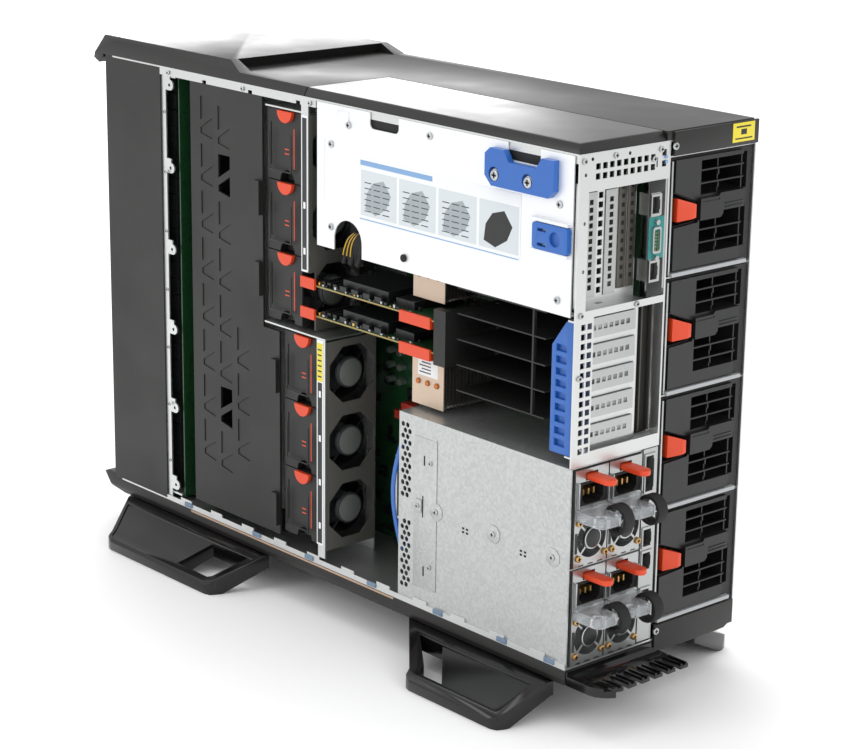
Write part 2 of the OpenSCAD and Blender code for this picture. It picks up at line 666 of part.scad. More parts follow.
module rotor(i) translate([fan_x(i) + 1.5 + stator_t + 1, fan_mid, fan_bottom(i) + fan_h / 2])
    rotate([0, 90, 0]) difference() {
        union() {
            cylinder(r = hub_r, h = fan_w - stator_t - 10);
            for (k = [0 : blade_count - 1]) rotate([0, 0, k * 360 / blade_count]) intersection() {
                // a swept, sloped vane trimmed to the air passage
                translate([0, 0, (fan_w - stator_t - 10) / 2]) rotate([blade_slope, 0, 0])
                    linear_extrude(1.4, center = true) difference() {
                        translate([hub_r * 0.5, -14]) square([fan_bore_r, 28]);
                        translate([hub_r * 0.4, 44]) circle(r = 32);
                        translate([fan_bore_r * 1.3, -36]) circle(r = 22);
                    }
                cylinder(r = fan_bore_r - 0.8, h = fan_w - stator_t - 10);
            }
        }
        translate([0, 0, -1]) cylinder(r = axle_r + run_gap, h = fan_w);
    }

// One wall with an eight-sided opening in front of each fan of a stack.
lever_notch = z0 + 274;
module exhaust_wall(x, stack) {
    y_lo = near + sheet + bond;
    z_lo = stack == 0 ? fan_bottom(0) - 3 : fan_bottom(3) - 2;
    z_hi = stack == 0 ? fan_bottom(2) + fan_h + 1 : fan_bottom(5) + fan_h + 1.2;
    on_rear(x + sheet, sheet) difference() {
        translate([y_lo, z_lo]) square([fan_back + slide_gap - bond - y_lo, z_hi - z_lo]);
        for (k = [0 : 2]) translate([fan_mid, fan_bottom(3 * stack + k) + fan_h / 2])
            rotate(22.5) circle(r = fan_bore_r + 2.6, $fn = 8);
        // cut back at the foot for the levers of the cards
        if (stack == 1) translate([y_lo - 1, z_lo - 1]) square([8, lever_notch - z_lo + 1]);
    }
}
module fan_cage() color(steel) {
    upper_x = front + fan_u + fan_w + slide_gap;
    lower_x = upper_x + fan_step;
    split_z = fan_bottom(3) - fan_gap_z + 2;
    head_z = fan_bottom(5) + fan_h + 1.5;
    back_y = fan_back + slide_gap;
    // label strips facing the open side
    slab([upper_x + 3, near, lever_notch + 2], [upper_x + 13, near + sheet, z1 - flange_h]);
    slab([lower_x + 3, near, z0 + flange_h], [lower_x + 13, near + sheet, split_z - bond]);
    color("#5b5a55") {
        exhaust_wall(upper_x + 11, 1);
        exhaust_wall(lower_x + 11, 0);
    }
    // shelf between the stacks, plates behind them and one over the top fan
    slab([front + fan_u, near, split_z], [lower_x + 13, fan_back + 3, split_z + sheet]);
    slab([front + fan_u, back_y, split_z + sheet + bond], [upper_x + 11 - bond, back_y + sheet, head_z - bond]);
    slab([front + fan_u + fan_step, back_y, z0 + sheet + bond],
         [lower_x + 11 - bond, back_y + sheet, split_z - bond]);
    slab([front + fan_u, near + 2, head_z], [upper_x + 11 - bond, back_y + sheet, head_z + sheet]);
}

/* ---- air shroud ---- */
shroud_face = near + 1;
shroud_t = 2.2;
shroud_step_z = fan_bottom(3) - fan_gap_z + 1.5;
upper_end = front + fan_u - 3.5;
lower_end = upper_end + fan_step;
// One pair of pockets: a block with a rising foot over a wedge.
module pocket_pair() {
    polygon([[0, 0], [pocket_w, 0], [pocket_w, -pocket_pitch * 0.27], [0, -pocket_pitch * 0.5]]);
    polygon([[0, -pocket_pitch * 0.66], [pocket_w, -pocket_pitch * 0.42],
             [pocket_w, -pocket_pitch * 0.86], [0, -pocket_pitch * 0.78]]);
}
module air_shroud() color(charcoal) {
    z_lo = z0 + flange_h + 5;
    z_hi = z1 - flange_h - seat_gap;
    x0 = front + shroud_u;
    rows = floor((z_hi - z_lo - 14) / pocket_pitch);
    lower_rows = floor((shroud_step_z - z_lo - 14) / pocket_pitch);
    difference() {
        on_side(shroud_face, shroud_t) polygon([
            [x0, z_lo], [lower_end, z_lo], [lower_end, shroud_step_z - 5],
            [upper_end, shroud_step_z - 5], [upper_end, z_hi], [x0, z_hi]]);
        for (row = [0 : rows - 1], col = [0 : 1])
            on_side(shroud_face - 0.5, row == rows - 2 && col == 1 ? 4 : 1.3)
                translate([x0 + 16 + col * 27, z_hi - 12 - col * 6 - row * pocket_pitch]) pocket_pair();
        for (row = [0 : lower_rows - 2])
            on_side(shroud_face - 0.5, 1.3)
                translate([x0 + 16 + 54, shroud_step_z - 14 - row * pocket_pitch]) pocket_pair();
        on_side(shroud_face - 0.5, 4)
            translate([x0 + 16 + 27, z_hi - 18 - pocket_pitch]) pocket_pair();
    }
    // side walls that lead the air to the fans
    slab([x0, shroud_face + shroud_t, z_lo], [x0 + 2, shroud_face + shroud_d, z_hi]);
    slab([x0 + 2, shroud_face + shroud_t, z_hi - 2], [upper_end, shroud_face + shroud_d, z_hi]);
    slab([x0 + 2, shroud_face + shroud_t, z_lo], [lower_end, shroud_face + shroud_d, z_lo + 2]);
    // grips on the fan side
    for (p = [[upper_end, z1 - 118], [upper_end, z1 - 194], [lower_end, z0 + 152], [lower_end, z0 + 22]])
        slab([p[0] - 9, near - 3, p[1]], [p[0] - 1, shroud_face, p[1] + 32]);
}

/* ---- card cover with its latch ---- */
cover_x0 = rear - card_cover_l;
cover_z1 = z1 - sheet - seat_gap;
cover_z0 = cover_z1 - card_cover_h;
handle_z = cover_z1 - 7;
arch_u = 41;
arch_r = 19;
latch_z = cover_z0 + 60;
module card_cover() {
    color("#e6e9ea") difference() {
        on_side(near, 1.2) difference() {
            polygon([[cover_x0, cover_z0], [cover_x0 + 24, cover_z0], [cover_x0 + 24, cover_z0 - 2],
                     [rear - 6, cover_z0 - 2], [rear - 6, cover_z1], [cover_x0, cover_z1]]);
            translate([cover_x0 + arch_u + 2, cover_z0 + 10]) circle(r = arch_r);
            translate([cover_x0 + 24, cover_z0 - 3]) square([2 * arch_r, 13]);
            // hand holes along the upper edge
            for (u = [72, 245]) translate([cover_x0 + u, cover_z1 - 14]) round_rect([0, 0], [38, 20], 5);
            translate([cover_x0 + 10, cover_z1 - 92]) round_rect([0, 0], [4, 60], 1.8);
            translate([cover_x0 + 300, cover_z1 - 28]) circle(r = 3);
        }
    }
    // edge folded inwards below and at the front
    color("#e6e9ea") slab([cover_x0 + 64, near + 1.2, cover_z0 - 2], [rear - 8, near + 12, cover_z0 - 0.8]);
    // handle with two captive screws
    color(blue) difference() {
        on_side(near - 6 - bond, 6) polygon([
            [cover_x0 + 224, handle_z - 22], [cover_x0 + 232, handle_z - 30], [cover_x0 + 298, handle_z - 30],
            [cover_x0 + 304, handle_z - 24], [cover_x0 + 304, handle_z + 1], [cover_x0 + 290, handle_z + 1],
            [cover_x0 + 284, handle_z - 8], [cover_x0 + 252, handle_z - 8], [cover_x0 + 246, handle_z + 1],
            [cover_x0 + 230, handle_z + 1], [cover_x0 + 224, handle_z - 4]]);
        for (u = [235, 274]) translate([cover_x0 + u, near - 7, handle_z - 20])
            rotate([-90, 0, 0]) cylinder(r = 6, h = 8);
    }
    color(steel) for (u = [235, 274]) translate([cover_x0 + u, near, handle_z - 20])
        rotate([90, 0, 0]) cylinder(r = 4, h = 4.5);
    // guides that the latch slides between
    color("#e6e9ea") for (z = [latch_z - 14, latch_z + 11.5])
        slab([cover_x0 + 276, near - 4, z], [rear - 8, near, z + 2.5]);
}
module cover_latch() color(blue) difference() {
    on_side(near - 5 - seat_gap, 5) difference() {
        round_rect([cover_x0 + 280, latch_z - 11], [rear - 7, latch_z + 11], 3);
        translate([cover_x0 + 286, latch_z + 4]) square([10, 2.5]);
        translate([cover_x0 + 286, latch_z - 8]) square([10, 2.5]);
    }
    translate([cover_x0 + 306, near - 6, latch_z]) rotate([-90, 0, 0]) cylinder(r = 6, h = 4);
}

/* ---- storage controller cards and their guide ---- */
raid_x0 = front + fan_u + fan_w + 5;
raid_z = cover_z0 - 68.2;
raid_d = 86;
module raid_card(i) {
    z = raid_z + i * raid_pitch;
    x0 = raid_x0 + 12;
    top = z + board_t + bond;
    color(board_green) slab([x0, near + 3, z], [raid_x0 + raid_l, near + raid_d, z + board_t]);
    // sockets, memory and chips along the card
    color(black) {
        slab([x0 + 34, near + 10, top], [x0 + 96, near + 62, top + 10]);
        slab([x0 + 104, near + 12, top], [x0 + 128, near + 70, top + 7]);
        for (u = [8, 16, 24]) slab([x0 + u, near + 6, top], [x0 + u + 5, near + 40, top + 4]);
        for (u = [36, 52, 68, 84]) slab([x0 + u, near + 4, top], [x0 + u + 9, near + 8, top + 5]);
    }
    color(orange) {
        slab([raid_x0 - 4, near + 0.5, z - 3], [x0 + 4, near + 3 - bond, z + 7]);
        slab([raid_x0 + raid_l - 43, near + 0.5, z - 7], [raid_x0 + raid_l - 3, near + 3 - bond, z + 3]);
        slab([raid_x0 + raid_l - 43, near + 3 - bond, z - 7], [raid_x0 + raid_l - 3, near + 10, z - bond]);
    }
}

guide_x = raid_x0 + raid_l + slide_gap;
module card_guide() color(black) {
    // holder at the rear end of the controller cards
    difference() {
        slab([guide_x, near + 2, raid_z - 9], [guide_x + 15, board_y, raid_z + raid_pitch + 12]);
        for (i = [0 : 4]) slab([guide_x - 1, near + 10, raid_z - 4 + i * 10], [guide_x + 11, board_y - 12, raid_z + 2 + i * 10]);
    }
    // comb that keeps the low cards apart
    for (i = [0 : low_slots - 1])
        slab([guide_x + 22, near + 9, low_slot_z + 25.5 + i * low_slot_pitch],
             [rear - 42, board_y, low_slot_z + 26.7 + i * low_slot_pitch]);
    slab([rear - 58, near + 9, low_slot_z + 25.5], [rear - 56, near + 12, low_slot_z + 26 + 4 * low_slot_pitch]);
    slab([guide_x + 15, near + 60, raid_z - 9], [guide_x + 22, board_y, raid_z + raid_pitch + 12]);
    slab([guide_x + 22, board_y - 15, low_slot_z + 25],
         [guide_x + 24, board_y - 12, low_slot_z + 28 + 4 * low_slot_pitch]);
}

/* ---- heat sinks ---- */
sink_h = 46;
sink_x = guide_x - 46;
sink_y0 = near + 24;
module heat_sink(z) {
    pitch = (board_y - 6 - sink_y0) / sink_fins;
    for (i = [0 : sink_fins - 1])
        slab([sink_x, sink_y0 + i * pitch, z], [sink_x + sink_l, sink_y0 + i * pitch + 0.7, z + sink_h]);
    color("#cdb8a4") difference() {
        slab([sink_x - 1, sink_y0 - 4.2, z - 1], [sink_x + sink_l + 1, sink_y0 - 3 - bond, z + sink_h + 1]);
        for (k = [-1, 0, 1]) translate([sink_x + sink_l / 2 + k * 12, sink_y0 - 5, z + 20])
            rotate([-90, 0, 0]) cylinder(r = 2, h = 3);
    }
    for (k = [-1, 0, 1]) translate([sink_x + sink_l / 2 + k * 12, sink_y0 - 3, z + 20])
        rotate([-90, 0, 0]) cylinder(r = 3, h = board_y - sink_y0);
    slab([sink_x - 4, board_y - 5, z - 2], [sink_x + sink_l + 4, board_y, z + sink_h + 2]);
}
module heat_sinks() color("#c9b7a6") {
    heat_sink(raid_z + raid_pitch + 13);
    heat_sink(raid_z - sink_h - 9);
}

/* ---- card clip ---- */
clip_z0 = low_slot_z + 3;
clip_h = 112;
clip_pivot = [rear - 8, near + 8];
clip_pin_r = 1.5;
module card_clip() color(blue) {
    difference() {
        union() {
            on_side(near + 4.5, 7) polygon([
                [rear - 30, clip_z0], [rear - 8, clip_z0], [rear - 8, clip_z0 + clip_h],
                [rear - 14, clip_z0 + clip_h], [rear - 30, clip_z0 + clip_h - 22]]);
            translate([clip_pivot[0], clip_pivot[1], clip_z0]) cylinder(r = 3.5, h = clip_h);
        }
        for (i = [0 : 8]) on_side(near + 4, 4) translate([rear - 25, clip_z0 + 6 + i * 10]) square([12, 6]);
        translate([clip_pivot[0], clip_pivot[1], clip_z0 - 1]) cylinder(r = clip_pin_r + run_gap, h = clip_h + 2);
    }
}

/* ---- power supply cage ---- */
cage_x = rear - psu_cage_l;
cage_y = near + sheet;
cage_top = psu_top;
row_pitch = psu_h + 2.6;
col_pitch = psu_w + 0.8;
psu_y0 = near + 6;
cage_far = psu_y0 + col_pitch + psu_w + slide_gap;
psu_z0 = z0 + sheet + slide_gap;
hex_r = 2.9;
// Rows of six-sided holes, every other row moved half a step.
module hex_field(cols, rows) {
    for (r = [0 : rows - 1], c = [0 : cols - 1])
        translate([c * hex_r * 2.05 + (r % 2) * hex_r * 1.03, r * hex_r * 1.85]) rotate(30) circle(r = hex_r * 0.86, $fn = 6);
}
module psu_cage() color("#b9bec2") {
    difference() {
        on_side(cage_y, 1.2) translate([cage_x, z0 + sheet]) square([psu_cage_l - 0.5, cage_top - z0 - sheet]);
        on_side(cage_y - 1, 4) {
            translate([cage_x + 5, z0 + 100]) hex_field(2, 13);
            translate([cage_x + 5, z0 + 16]) hex_field(2, 12);
            translate([cage_x + 20, z0 + 84]) round_rect([0, 0], [3, 8], 1.4);
        }
        // raised pads with screw holes show as shallow steps
        for (u = [48, 123, 196]) on_side(cage_y - 1, 4) translate([cage_x + u, z0 + 94]) circle(r = 1.6);
        on_side(cage_y - 0.1, 0.5) translate([cage_x + 50, z0 + 20]) square([0.8, 140]);
    }
    // roof, inner end, shelf between the rows and far wall, each spot-welded on
    inner_y = cage_y + 1.2 + bond;
    low_z = z0 + sheet;
    under_roof = cage_top - 1.2 - bond;
    shelf_z = psu_z0 + psu_h + slide_gap;
    slab([cage_x, inner_y, cage_top - 1.2], [rear - 2, cage_far + 1.2, cage_top]);
    on_rear(cage_x + 1.2, 1.2) difference() {
        translate([inner_y, low_z]) square([cage_far + 1.2 - inner_y, under_roof - low_z]);
        for (z = [z0 + 12, z0 + 99], y = [near + 10, near + 34, near + 58])
            translate([y, z]) square([18, 66]);
    }
    slab([cage_x + 1.2 + bond, inner_y, shelf_z], [rear - 2, cage_far - bond, shelf_z + 1.2]);
    slab([cage_x + 1.2 + bond, cage_far, low_z], [rear - 2, cage_far + 1.2, under_roof]);
    // bent strap beside the cage
    slab([cage_x - 7, cage_y + 2, z0 + 74], [cage_x - bond, cage_y + 14, z0 + 76]);
    slab([cage_x - 7, cage_y + 2, z0 + 75], [cage_x - 5, cage_y + 14, z0 + 131]);
    slab([cage_x - 7, cage_y + 2, z0 + 130], [cage_x - bond, cage_y + 14, z0 + 132]);
}

/* ---- power supplies ---- */
function psu_y(i) = psu_y0 + (i % 2) * col_pitch;
function psu_z(i) = psu_z0 + (i < 2 ? row_pitch : 0);
latch_h = 6;
press_z = psu_h - 7;
latch_pin_r = 1;
// Inlet frame's corners, the middle of the fan, and half the spacing of the fan's screws
inlet = [2.3, psu_h - 31.2, psu_w - 1.8, press_z - 3.9];
psu_fan = [psu_w / 2 + 1.3, 23];
psu_screw = 15.4;
module psu(i) translate([rear, psu_y(i), psu_z(i)]) {
    inlet_mid = [(inlet[0] + inlet[2]) / 2, (inlet[1] + inlet[3]) / 2];
    color("#a7acaf") difference() {
        slab([-psu_l, 0.3, 0], [0, psu_w - 0.3, psu_h]);
        // inlet pocket, fan opening and latch slot
        on_rear(1, 19) translate([inlet[0], inlet[1]]) square([inlet[2] - inlet[0], inlet[3] - inlet[1]]);
        on_rear(1, 26) translate(psu_fan) circle(r = 16.8);
        slab([-16, 12, press_z - 3.2], [1, 26, press_z + 3.9]);
        for (y = [6, 17, 28]) slab([-8, y, -1], [1, y + 6, 1.2]);
    }
    color("#85898c") translate([-6, 11, press_z]) rotate([-90, 0, 0]) cylinder(r = latch_pin_r, h = 16);
    // guard over the fan: four arms and a hub
    color("#85898c") on_rear(0, 1.5) {
        translate(psu_fan) circle(r = 9.6);
        translate(psu_fan) for (a = [0 : 3]) rotate(45 + 90 * a) translate([8, -0.9]) square([10, 1.8]);
    }
    color("#c9a45c") for (a = [-1, 1], b = [-1, 1])
        translate([bond, psu_fan[0] + a * psu_screw, psu_fan[1] + b * psu_screw]) rotate([0, 90, 0])
            cylinder(r = 2.2, h = 1.6);
    // power inlet with its three blades
    color(black) on_rear(0.8, 18) difference() {
        translate([inlet[0] + bond, inlet[1] + bond])
            square([inlet[2] - inlet[0] - 2 * bond, inlet[3] - inlet[1] - 2 * bond]);
        translate(inlet_mid) polygon([[-12, -5], [-8, -9], [8, -9], [12, -5], [12, 8], [-12, 8]]);
    }
    color(black) on_rear(-15, 2) translate(inlet_mid) square([23, 15], center = true);
    color("#c9a45c") for (y = [-6, 0, 6])
        on_rear(-4, 10.8) translate([inlet_mid[0] + y - 0.8, inlet_mid[1] - 3]) square([1.6, 5]);
    // clear handle: a flat bridge with deep side rails and a rounded nose
    top = psu_h - 34;
    color("#d5dadd") difference() {
        union() {
            translate([0, 0, top - 3]) linear_extrude(3) polygon([
                [bond, 1.6], [bond, psu_w - 1], [8, psu_w - 1], [16, psu_w - 14],
                [psu_handle - 5, psu_w - 15], [psu_handle - 4, 7], [psu_handle - 10, 1.6]]);
            slab([bond, 1.6, top - 9], [psu_handle - 10, 4.6, top]);
            slab([psu_handle - 9, 6, top - 9], [psu_handle - 4, psu_w - 15, top]);
            translate([psu_handle - 10.4, 7.6, top - 9]) cylinder(r = 6, h = 9);
        }
        translate([psu_handle - 10.4, 7.6, top - 10]) cylinder(r = 2.5, h = 7);
    }
    // strap looped round the handle's nose
    color(black) translate([psu_handle - 12, psu_w - 14 + bond, top - 7]) rotate([-90, 0, 0]) difference() {
        cylinder(r = 12.5, h = 10);
        translate([0, 0, -1]) cylinder(r = 9.5, h = 12);
    }
}
module psu_latch(i) color(orange) translate([rear, psu_y(i), psu_z(i) + press_z]) difference() {
    union() {
        slab([-8, 13, -latch_h / 2 + 0.5], [20, 25, latch_h / 2 - 0.5]);
        translate([20, 19, -latch_h / 2 + 0.5]) cylinder(r = 6, h = latch_h - 1);
    }
    translate([-6, 12, 0]) rotate([-90, 0, 0]) cylinder(r = latch_pin_r + run_gap, h = 14);
}

/* ---- blowers ---- */
blower_w = far - sheet - mid - 2 * slide_gap - 1;
blower_y = mid + slide_gap + 0.5;
blower_h = blower_pitch - shelf_t - 2 * slide_gap;
// Bars stand at these heights in the upper and in the lower window.
upper_bars = [75.5, 86.4];
lower_bars = [25.6, 36.5];
bar_t = 1.3;
arm_z = [44.6, 50.2, 60.4, 65.3];
module blower(i) translate([rear, blower_y, blower_z + i * blower_pitch + slide_gap]) {
    h = blower_h;
    w = blower_w;
    x_window = 35;
    windows = [[arm_z[3], h - 5], [15.6, arm_z[1]]];
    color("#232424") difference() {
        slab([-blower_l, 0, 0], [-2, w, h]);
        // air scrolls seen through the louvres
        for (z = windows) slab([-60, x_window - 1, z[0] - 1], [-1, w - 6, z[1] + 1]);
        on_rear(-1, 16) polygon(latch_pocket(0));
        translate([-blower_l - 1, w / 2, h / 2]) rotate([0, 90, 0]) cylinder(r = 30, h = 40);
    }
    color(charcoal) {
        difference() {
            slab([-2 + bond, 4.4, 5.2], [1.2, w - 5, h - 1.5]);
            for (z = windows) slab([-4, x_window, z[0]], [2, w - 7.5, z[1]]);
            // right edge stands back from the bars
            slab([-4, w - 14, 5], [2, w - 4, h]);
            on_rear(2, 6) polygon(latch_pocket(1));
        }
        for (z = concat(upper_bars, lower_bars)) slab([-1.5, x_window - 1, z - bar_t], [1.2, w - 13.5, z]);
        // upright edge that carries the bars at their far end
        for (z = windows) slab([-1.5, w - 15, z[0] - 1], [-0.5, w - 13.6, z[1] + 0.5]);
        for (z = windows) slab([-1.5, 56, z[0] - 1], [-0.5, 57.2, z[1] + 0.5]);
        // grip arm across the middle, with its stepped end and a slot
        difference() {
            on_rear(5, 4.2) polygon([[32, arm_z[0]], [57, arm_z[0]], [60, arm_z[0] + 3], [60, arm_z[1]],
                                     [w - 14.5, arm_z[1]], [w - 14.5, arm_z[3]], [56, arm_z[3]],
                                     [54, arm_z[3] - 2.5], [32, arm_z[3] - 2.5]]);
            on_rear(6, 1.6) translate([34, arm_z[2] - 0.6]) square([21, 1.6]);
        }
        slab([-2 + bond, 3, 0.2], [2.4, w - 6, 3.4]);
    }
}
// Outline of the pocket round a blower's latch, grown by g.
function latch_pocket(g) = [[5 - g, 42 - g], [32 + g, 43.5 - g], [32 + g, 59 + g], [5 - g, 70 + g]];
// The latch is a wedge that stands out towards the arm.
module blower_latch(i) translate([rear, blower_y, blower_z + i * blower_pitch + slide_gap]) {
    color(orange) intersection() {
        on_rear(9, 14) polygon([[8.5, 45.6], [24, 49], [24, 60], [8.5, 65.4]]);
        translate([0, 0, 40]) linear_extrude(30) polygon([[-5, 8.5], [-5, 24], [7.6, 24], [7.6, 20], [0.6, 8.5]]);
    }
    color(orange) slab([-16.6, 9, 48], [-4.5, 23, 60]);
}

/* ---- server modules ---- */
server_w = (far - mid - 4 - 3 * slide_gap) / 2;
server_h = body_h - bay_rim - bay_head - 2 * slide_gap;
module server(i) translate([front, mid + 1 + slide_gap + i * (server_w + slide_gap), z0 + bay_rim + slide_gap]) {
    color("#3b3d3f") difference() {
        slab([2, 0, 0], [server_l, server_w, server_h]);
        for (z = [70 : 26 : server_h - 70]) slab([1, 8, z], [10, server_w - 8, z + 18]);
    }
    // pull lever at the foot of the face
    color(steel) {
        slab([-3, 10, 12], [2, server_w - 10, 16]);
        slab([-3, 10, 16], [-0.5, server_w - 10, 44]);
    }
}

chassis_floor();
chassis_roof();
chassis_side();
mid_wall();
front_frame();
base_skirt();
top_cover_front();
top_cover_rear();
cable_tray();
rear_panel();
slot_covers();
rear_io();
circuit_boards();
fan_cage();
psu_cage();
drive_cage();
drive_carriers();
heat_sinks();
card_guide();
foot_front_near();
foot_front_far();
foot_rear_near();
foot_rear_far();
psu(0);  // psu_1
psu(1);  // psu_2
psu(2);  // psu_3
psu(3);  // psu_4
psu_latch(0);  // psu_latch_1
psu_latch(1);  // psu_latch_2
psu_latch(2);  // psu_latch_3
psu_latch(3);  // psu_latch_4
blower(0);  // blower_1
blower(1);  // blower_2
blower(2);  // blower_3
blower(3);  // blower_4
blower_latch(0);  // blower_latch_1
blower_latch(1);  // blower_latch_2
blower_latch(2);  // blower_latch_3
blower_latch(3);  // blower_latch_4
color(charcoal) fan(0);  // fan_1
color(charcoal) fan(1);  // fan_2
color(charcoal) fan(2);  // fan_3
color(charcoal) fan(3);  // fan_4
color(charcoal) fan(4);  // fan_5
color(charcoal) fan(5);  // fan_6
color("#55595b") rotor(0);  // fan_rotor_1
color("#55595b") rotor(1);  // fan_rotor_2
color("#55595b") rotor(2);  // fan_rotor_3
color("#55595b") rotor(3);  // fan_rotor_4
color("#55595b") rotor(4);  // fan_rotor_5
color("#55595b") rotor(5);  // fan_rotor_6
server(0);  // server_1
server(1);  // server_2
air_shroud();
card_cover();
cover_latch();
raid_card(0);  // raid_card_1
raid_card(1);  // raid_card_2
card_clip();
power_button();
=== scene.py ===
# %% [markdown]
# # A modular server chassis with its side open
# The CAD part holds every size and place, in metres here. This script gives its surfaces their finishes and
# adds the small things that a solid model leaves out: screws, wires, chips, labels without words and moulded
# edges. It starts with the frame, so every later cell can ask a CAD node where it is.
# %% Load the frame
import math
import random

import bpy
from mathutils import Matrix, Vector
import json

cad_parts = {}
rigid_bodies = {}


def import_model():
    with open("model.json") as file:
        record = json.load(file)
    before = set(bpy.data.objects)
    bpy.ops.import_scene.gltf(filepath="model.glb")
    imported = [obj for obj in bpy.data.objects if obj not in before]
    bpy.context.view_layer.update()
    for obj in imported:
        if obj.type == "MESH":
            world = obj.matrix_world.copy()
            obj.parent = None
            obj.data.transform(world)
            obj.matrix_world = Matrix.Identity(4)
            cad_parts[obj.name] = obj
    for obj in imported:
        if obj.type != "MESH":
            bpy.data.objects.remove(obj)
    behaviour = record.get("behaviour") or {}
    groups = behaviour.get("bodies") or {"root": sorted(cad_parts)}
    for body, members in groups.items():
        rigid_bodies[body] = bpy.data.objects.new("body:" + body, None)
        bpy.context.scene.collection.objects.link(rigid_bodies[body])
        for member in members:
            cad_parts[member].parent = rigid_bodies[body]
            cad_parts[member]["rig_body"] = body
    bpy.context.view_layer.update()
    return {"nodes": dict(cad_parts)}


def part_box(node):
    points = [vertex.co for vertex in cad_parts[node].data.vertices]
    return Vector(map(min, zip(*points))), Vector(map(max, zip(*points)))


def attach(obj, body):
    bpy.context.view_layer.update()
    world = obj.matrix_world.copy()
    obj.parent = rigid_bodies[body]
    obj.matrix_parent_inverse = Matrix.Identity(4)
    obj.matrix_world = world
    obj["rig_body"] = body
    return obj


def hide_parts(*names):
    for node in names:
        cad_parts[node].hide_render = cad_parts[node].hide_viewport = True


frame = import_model()
nodes = frame["nodes"]
MM = 0.001


# %% [markdown]
# ## Camera, floor and light
# A long lens from above the rear corner keeps the tall box upright and calm. The lens length is given as on a
# 36 mm camera, and the camera's place is given as a point in the world.
# %% Camera
FOCAL_PX_FRACTION = 2394 / 850
CAMERA_AZIMUTH = 48.13
CAMERA_TILT = 16.05
CAMERA_ROLL = 0.84
CAMERA_PLACE = Vector((1.61376, -1.39916, 0.83286))

camera_data = bpy.data.cameras.new("camera")
camera_data.lens = 36 * FOCAL_PX_FRACTION
camera_data.sensor_width = 36
camera_data.shift_x = -0.0176
camera = bpy.data.objects.new("camera", camera_data)
bpy.context.scene.collection.objects.link(camera)
bpy.context.scene.camera = camera
turn = Matrix.Rotation(math.radians(CAMERA_AZIMUTH), 4, "Z")
tilt = Matrix.Rotation(math.radians(90 - CAMERA_TILT), 4, "X")
roll = Matrix.Rotation(math.radians(CAMERA_ROLL), 4, "Z")
camera.matrix_world = Matrix.Translation(CAMERA_PLACE) @ turn @ tilt @ roll
print("camera lens", round(camera_data.lens, 1), "mm")

# %% [markdown]
# The floor is a wide pale sheet. A large soft light from above and behind the service side fills the covers
# with a pale sheen, a second one at the left keeps the open side readable, and the world adds an even white.
# %% Floor and lights
FLOOR_SIZE = 14.0
bpy.ops.object.select_all(action="DESELECT")
bpy.ops.mesh.primitive_plane_add(size=FLOOR_SIZE, location=(0, 0, 0))
floor = bpy.context.object
floor.name = "floor"


def soft_light(name, place, target, size, watts, tint=(1, 1, 1)):
    """A square area light at place that faces target."""
    light = bpy.data.lights.new(name, "AREA")
    light.size = size
    light.energy = watts
    light.color = tint
    holder = bpy.data.objects.new(name, light)
    holder.location = place
    holder.rotation_euler = (Vector(target) - Vector(place)).to_track_quat("-Z", "Y").to_euler()
    bpy.context.scene.collection.objects.link(holder)
    return holder


MIDDLE = (0, 0, 0.25)
soft_light("overhead", (-0.6, 0.4, 2.6), MIDDLE, 2.2, 26)
soft_light("service_side", (-0.9, -2.6, 1.5), MIDDLE, 1.6, 17)
soft_light("rear_side", (2.8, -0.4, 1.3), MIDDLE, 1.4, 15)
# a low, wide sheet behind the far corner, which the covers mirror back at a shallow angle
soft_light("behind", (-4.1, 2.6, 1.15), (0.0, 0.0, 0.48), 2.4, 90)
world = bpy.data.worlds.new("studio")
world.use_nodes = True
world.node_tree.nodes["Background"].inputs["Color"].default_value = (1, 1, 1, 1)
world.node_tree.nodes["Background"].inputs["Strength"].default_value = 0.85
bpy.context.scene.world = world
bpy.context.scene.view_settings.view_transform = "Standard"


# %% [markdown]
# ## Materials
# Every finish is a small node tree on a Principled shader. One function adds a node with its settings, one
# turns an sRGB hex colour to the linear values that the shader wants, and one ties a noise or grain to bump.
# %% Helpers for materials
def linear(hex_colour, alpha=1.0):
    """sRGB hex such as 'c9cdd0' as linear RGBA."""
    parts = [int(hex_colour[i:i + 2], 16) / 255 for i in (0, 2, 4)]
    return tuple(c / 12.92 if c <= 0.04045 else ((c + 0.055) / 1.055) ** 2.4 for c in parts) + (alpha,)


def add(material, kind, links=None, **settings):
    """Adds a node of this kind. settings are node properties or inputs, links maps an input to an output."""
    node = material.node_tree.nodes.new(kind)
    for key, value in settings.items():
        name = key.replace("_", " ")
        if name in node.inputs:
            node.inputs[name].default_value = value
        else:
            setattr(node, key, value)
    for name, output in (links or {}).items():
        material.node_tree.links.new(output, node.inputs[name])
    return node


def finish_for(name, hex_colour, roughness, metallic=0.0, **sockets):
    """A new material whose Principled shader has these plain values."""
    material = bpy.data.materials.new(name)
    material.use_nodes = True
    shader = material.node_tree.nodes["Principled BSDF"]
    shader.inputs["Base Color"].default_value = linear(hex_colour)
    shader.inputs["Roughness"].default_value = roughness
    shader.inputs["Metallic"].default_value = metallic
    for key, value in sockets.items():
        shader.inputs[key.replace("_", " ")].default_value = value
    return material


def place_of(material, scale=(1, 1, 1)):
    """Object coordinates in metres, stretched by scale."""
    coordinates = add(material, "ShaderNodeTexCoord")
    mapping = add(material, "ShaderNodeMapping", {"Vector": coordinates.outputs["Object"]})
    mapping.inputs["Scale"].default_value = scale
    return mapping.outputs["Vector"]


def bump_from(material, height, depth_mm, strength=1.0):
    """Ties a height to the shader's normal."""
    bump = add(material, "ShaderNodeBump", {"Height": height}, Strength=strength, Distance=depth_mm * MM)
    shader = material.node_tree.nodes["Principled BSDF"]
    material.node_tree.links.new(bump.outputs["Normal"], shader.inputs["Normal"])


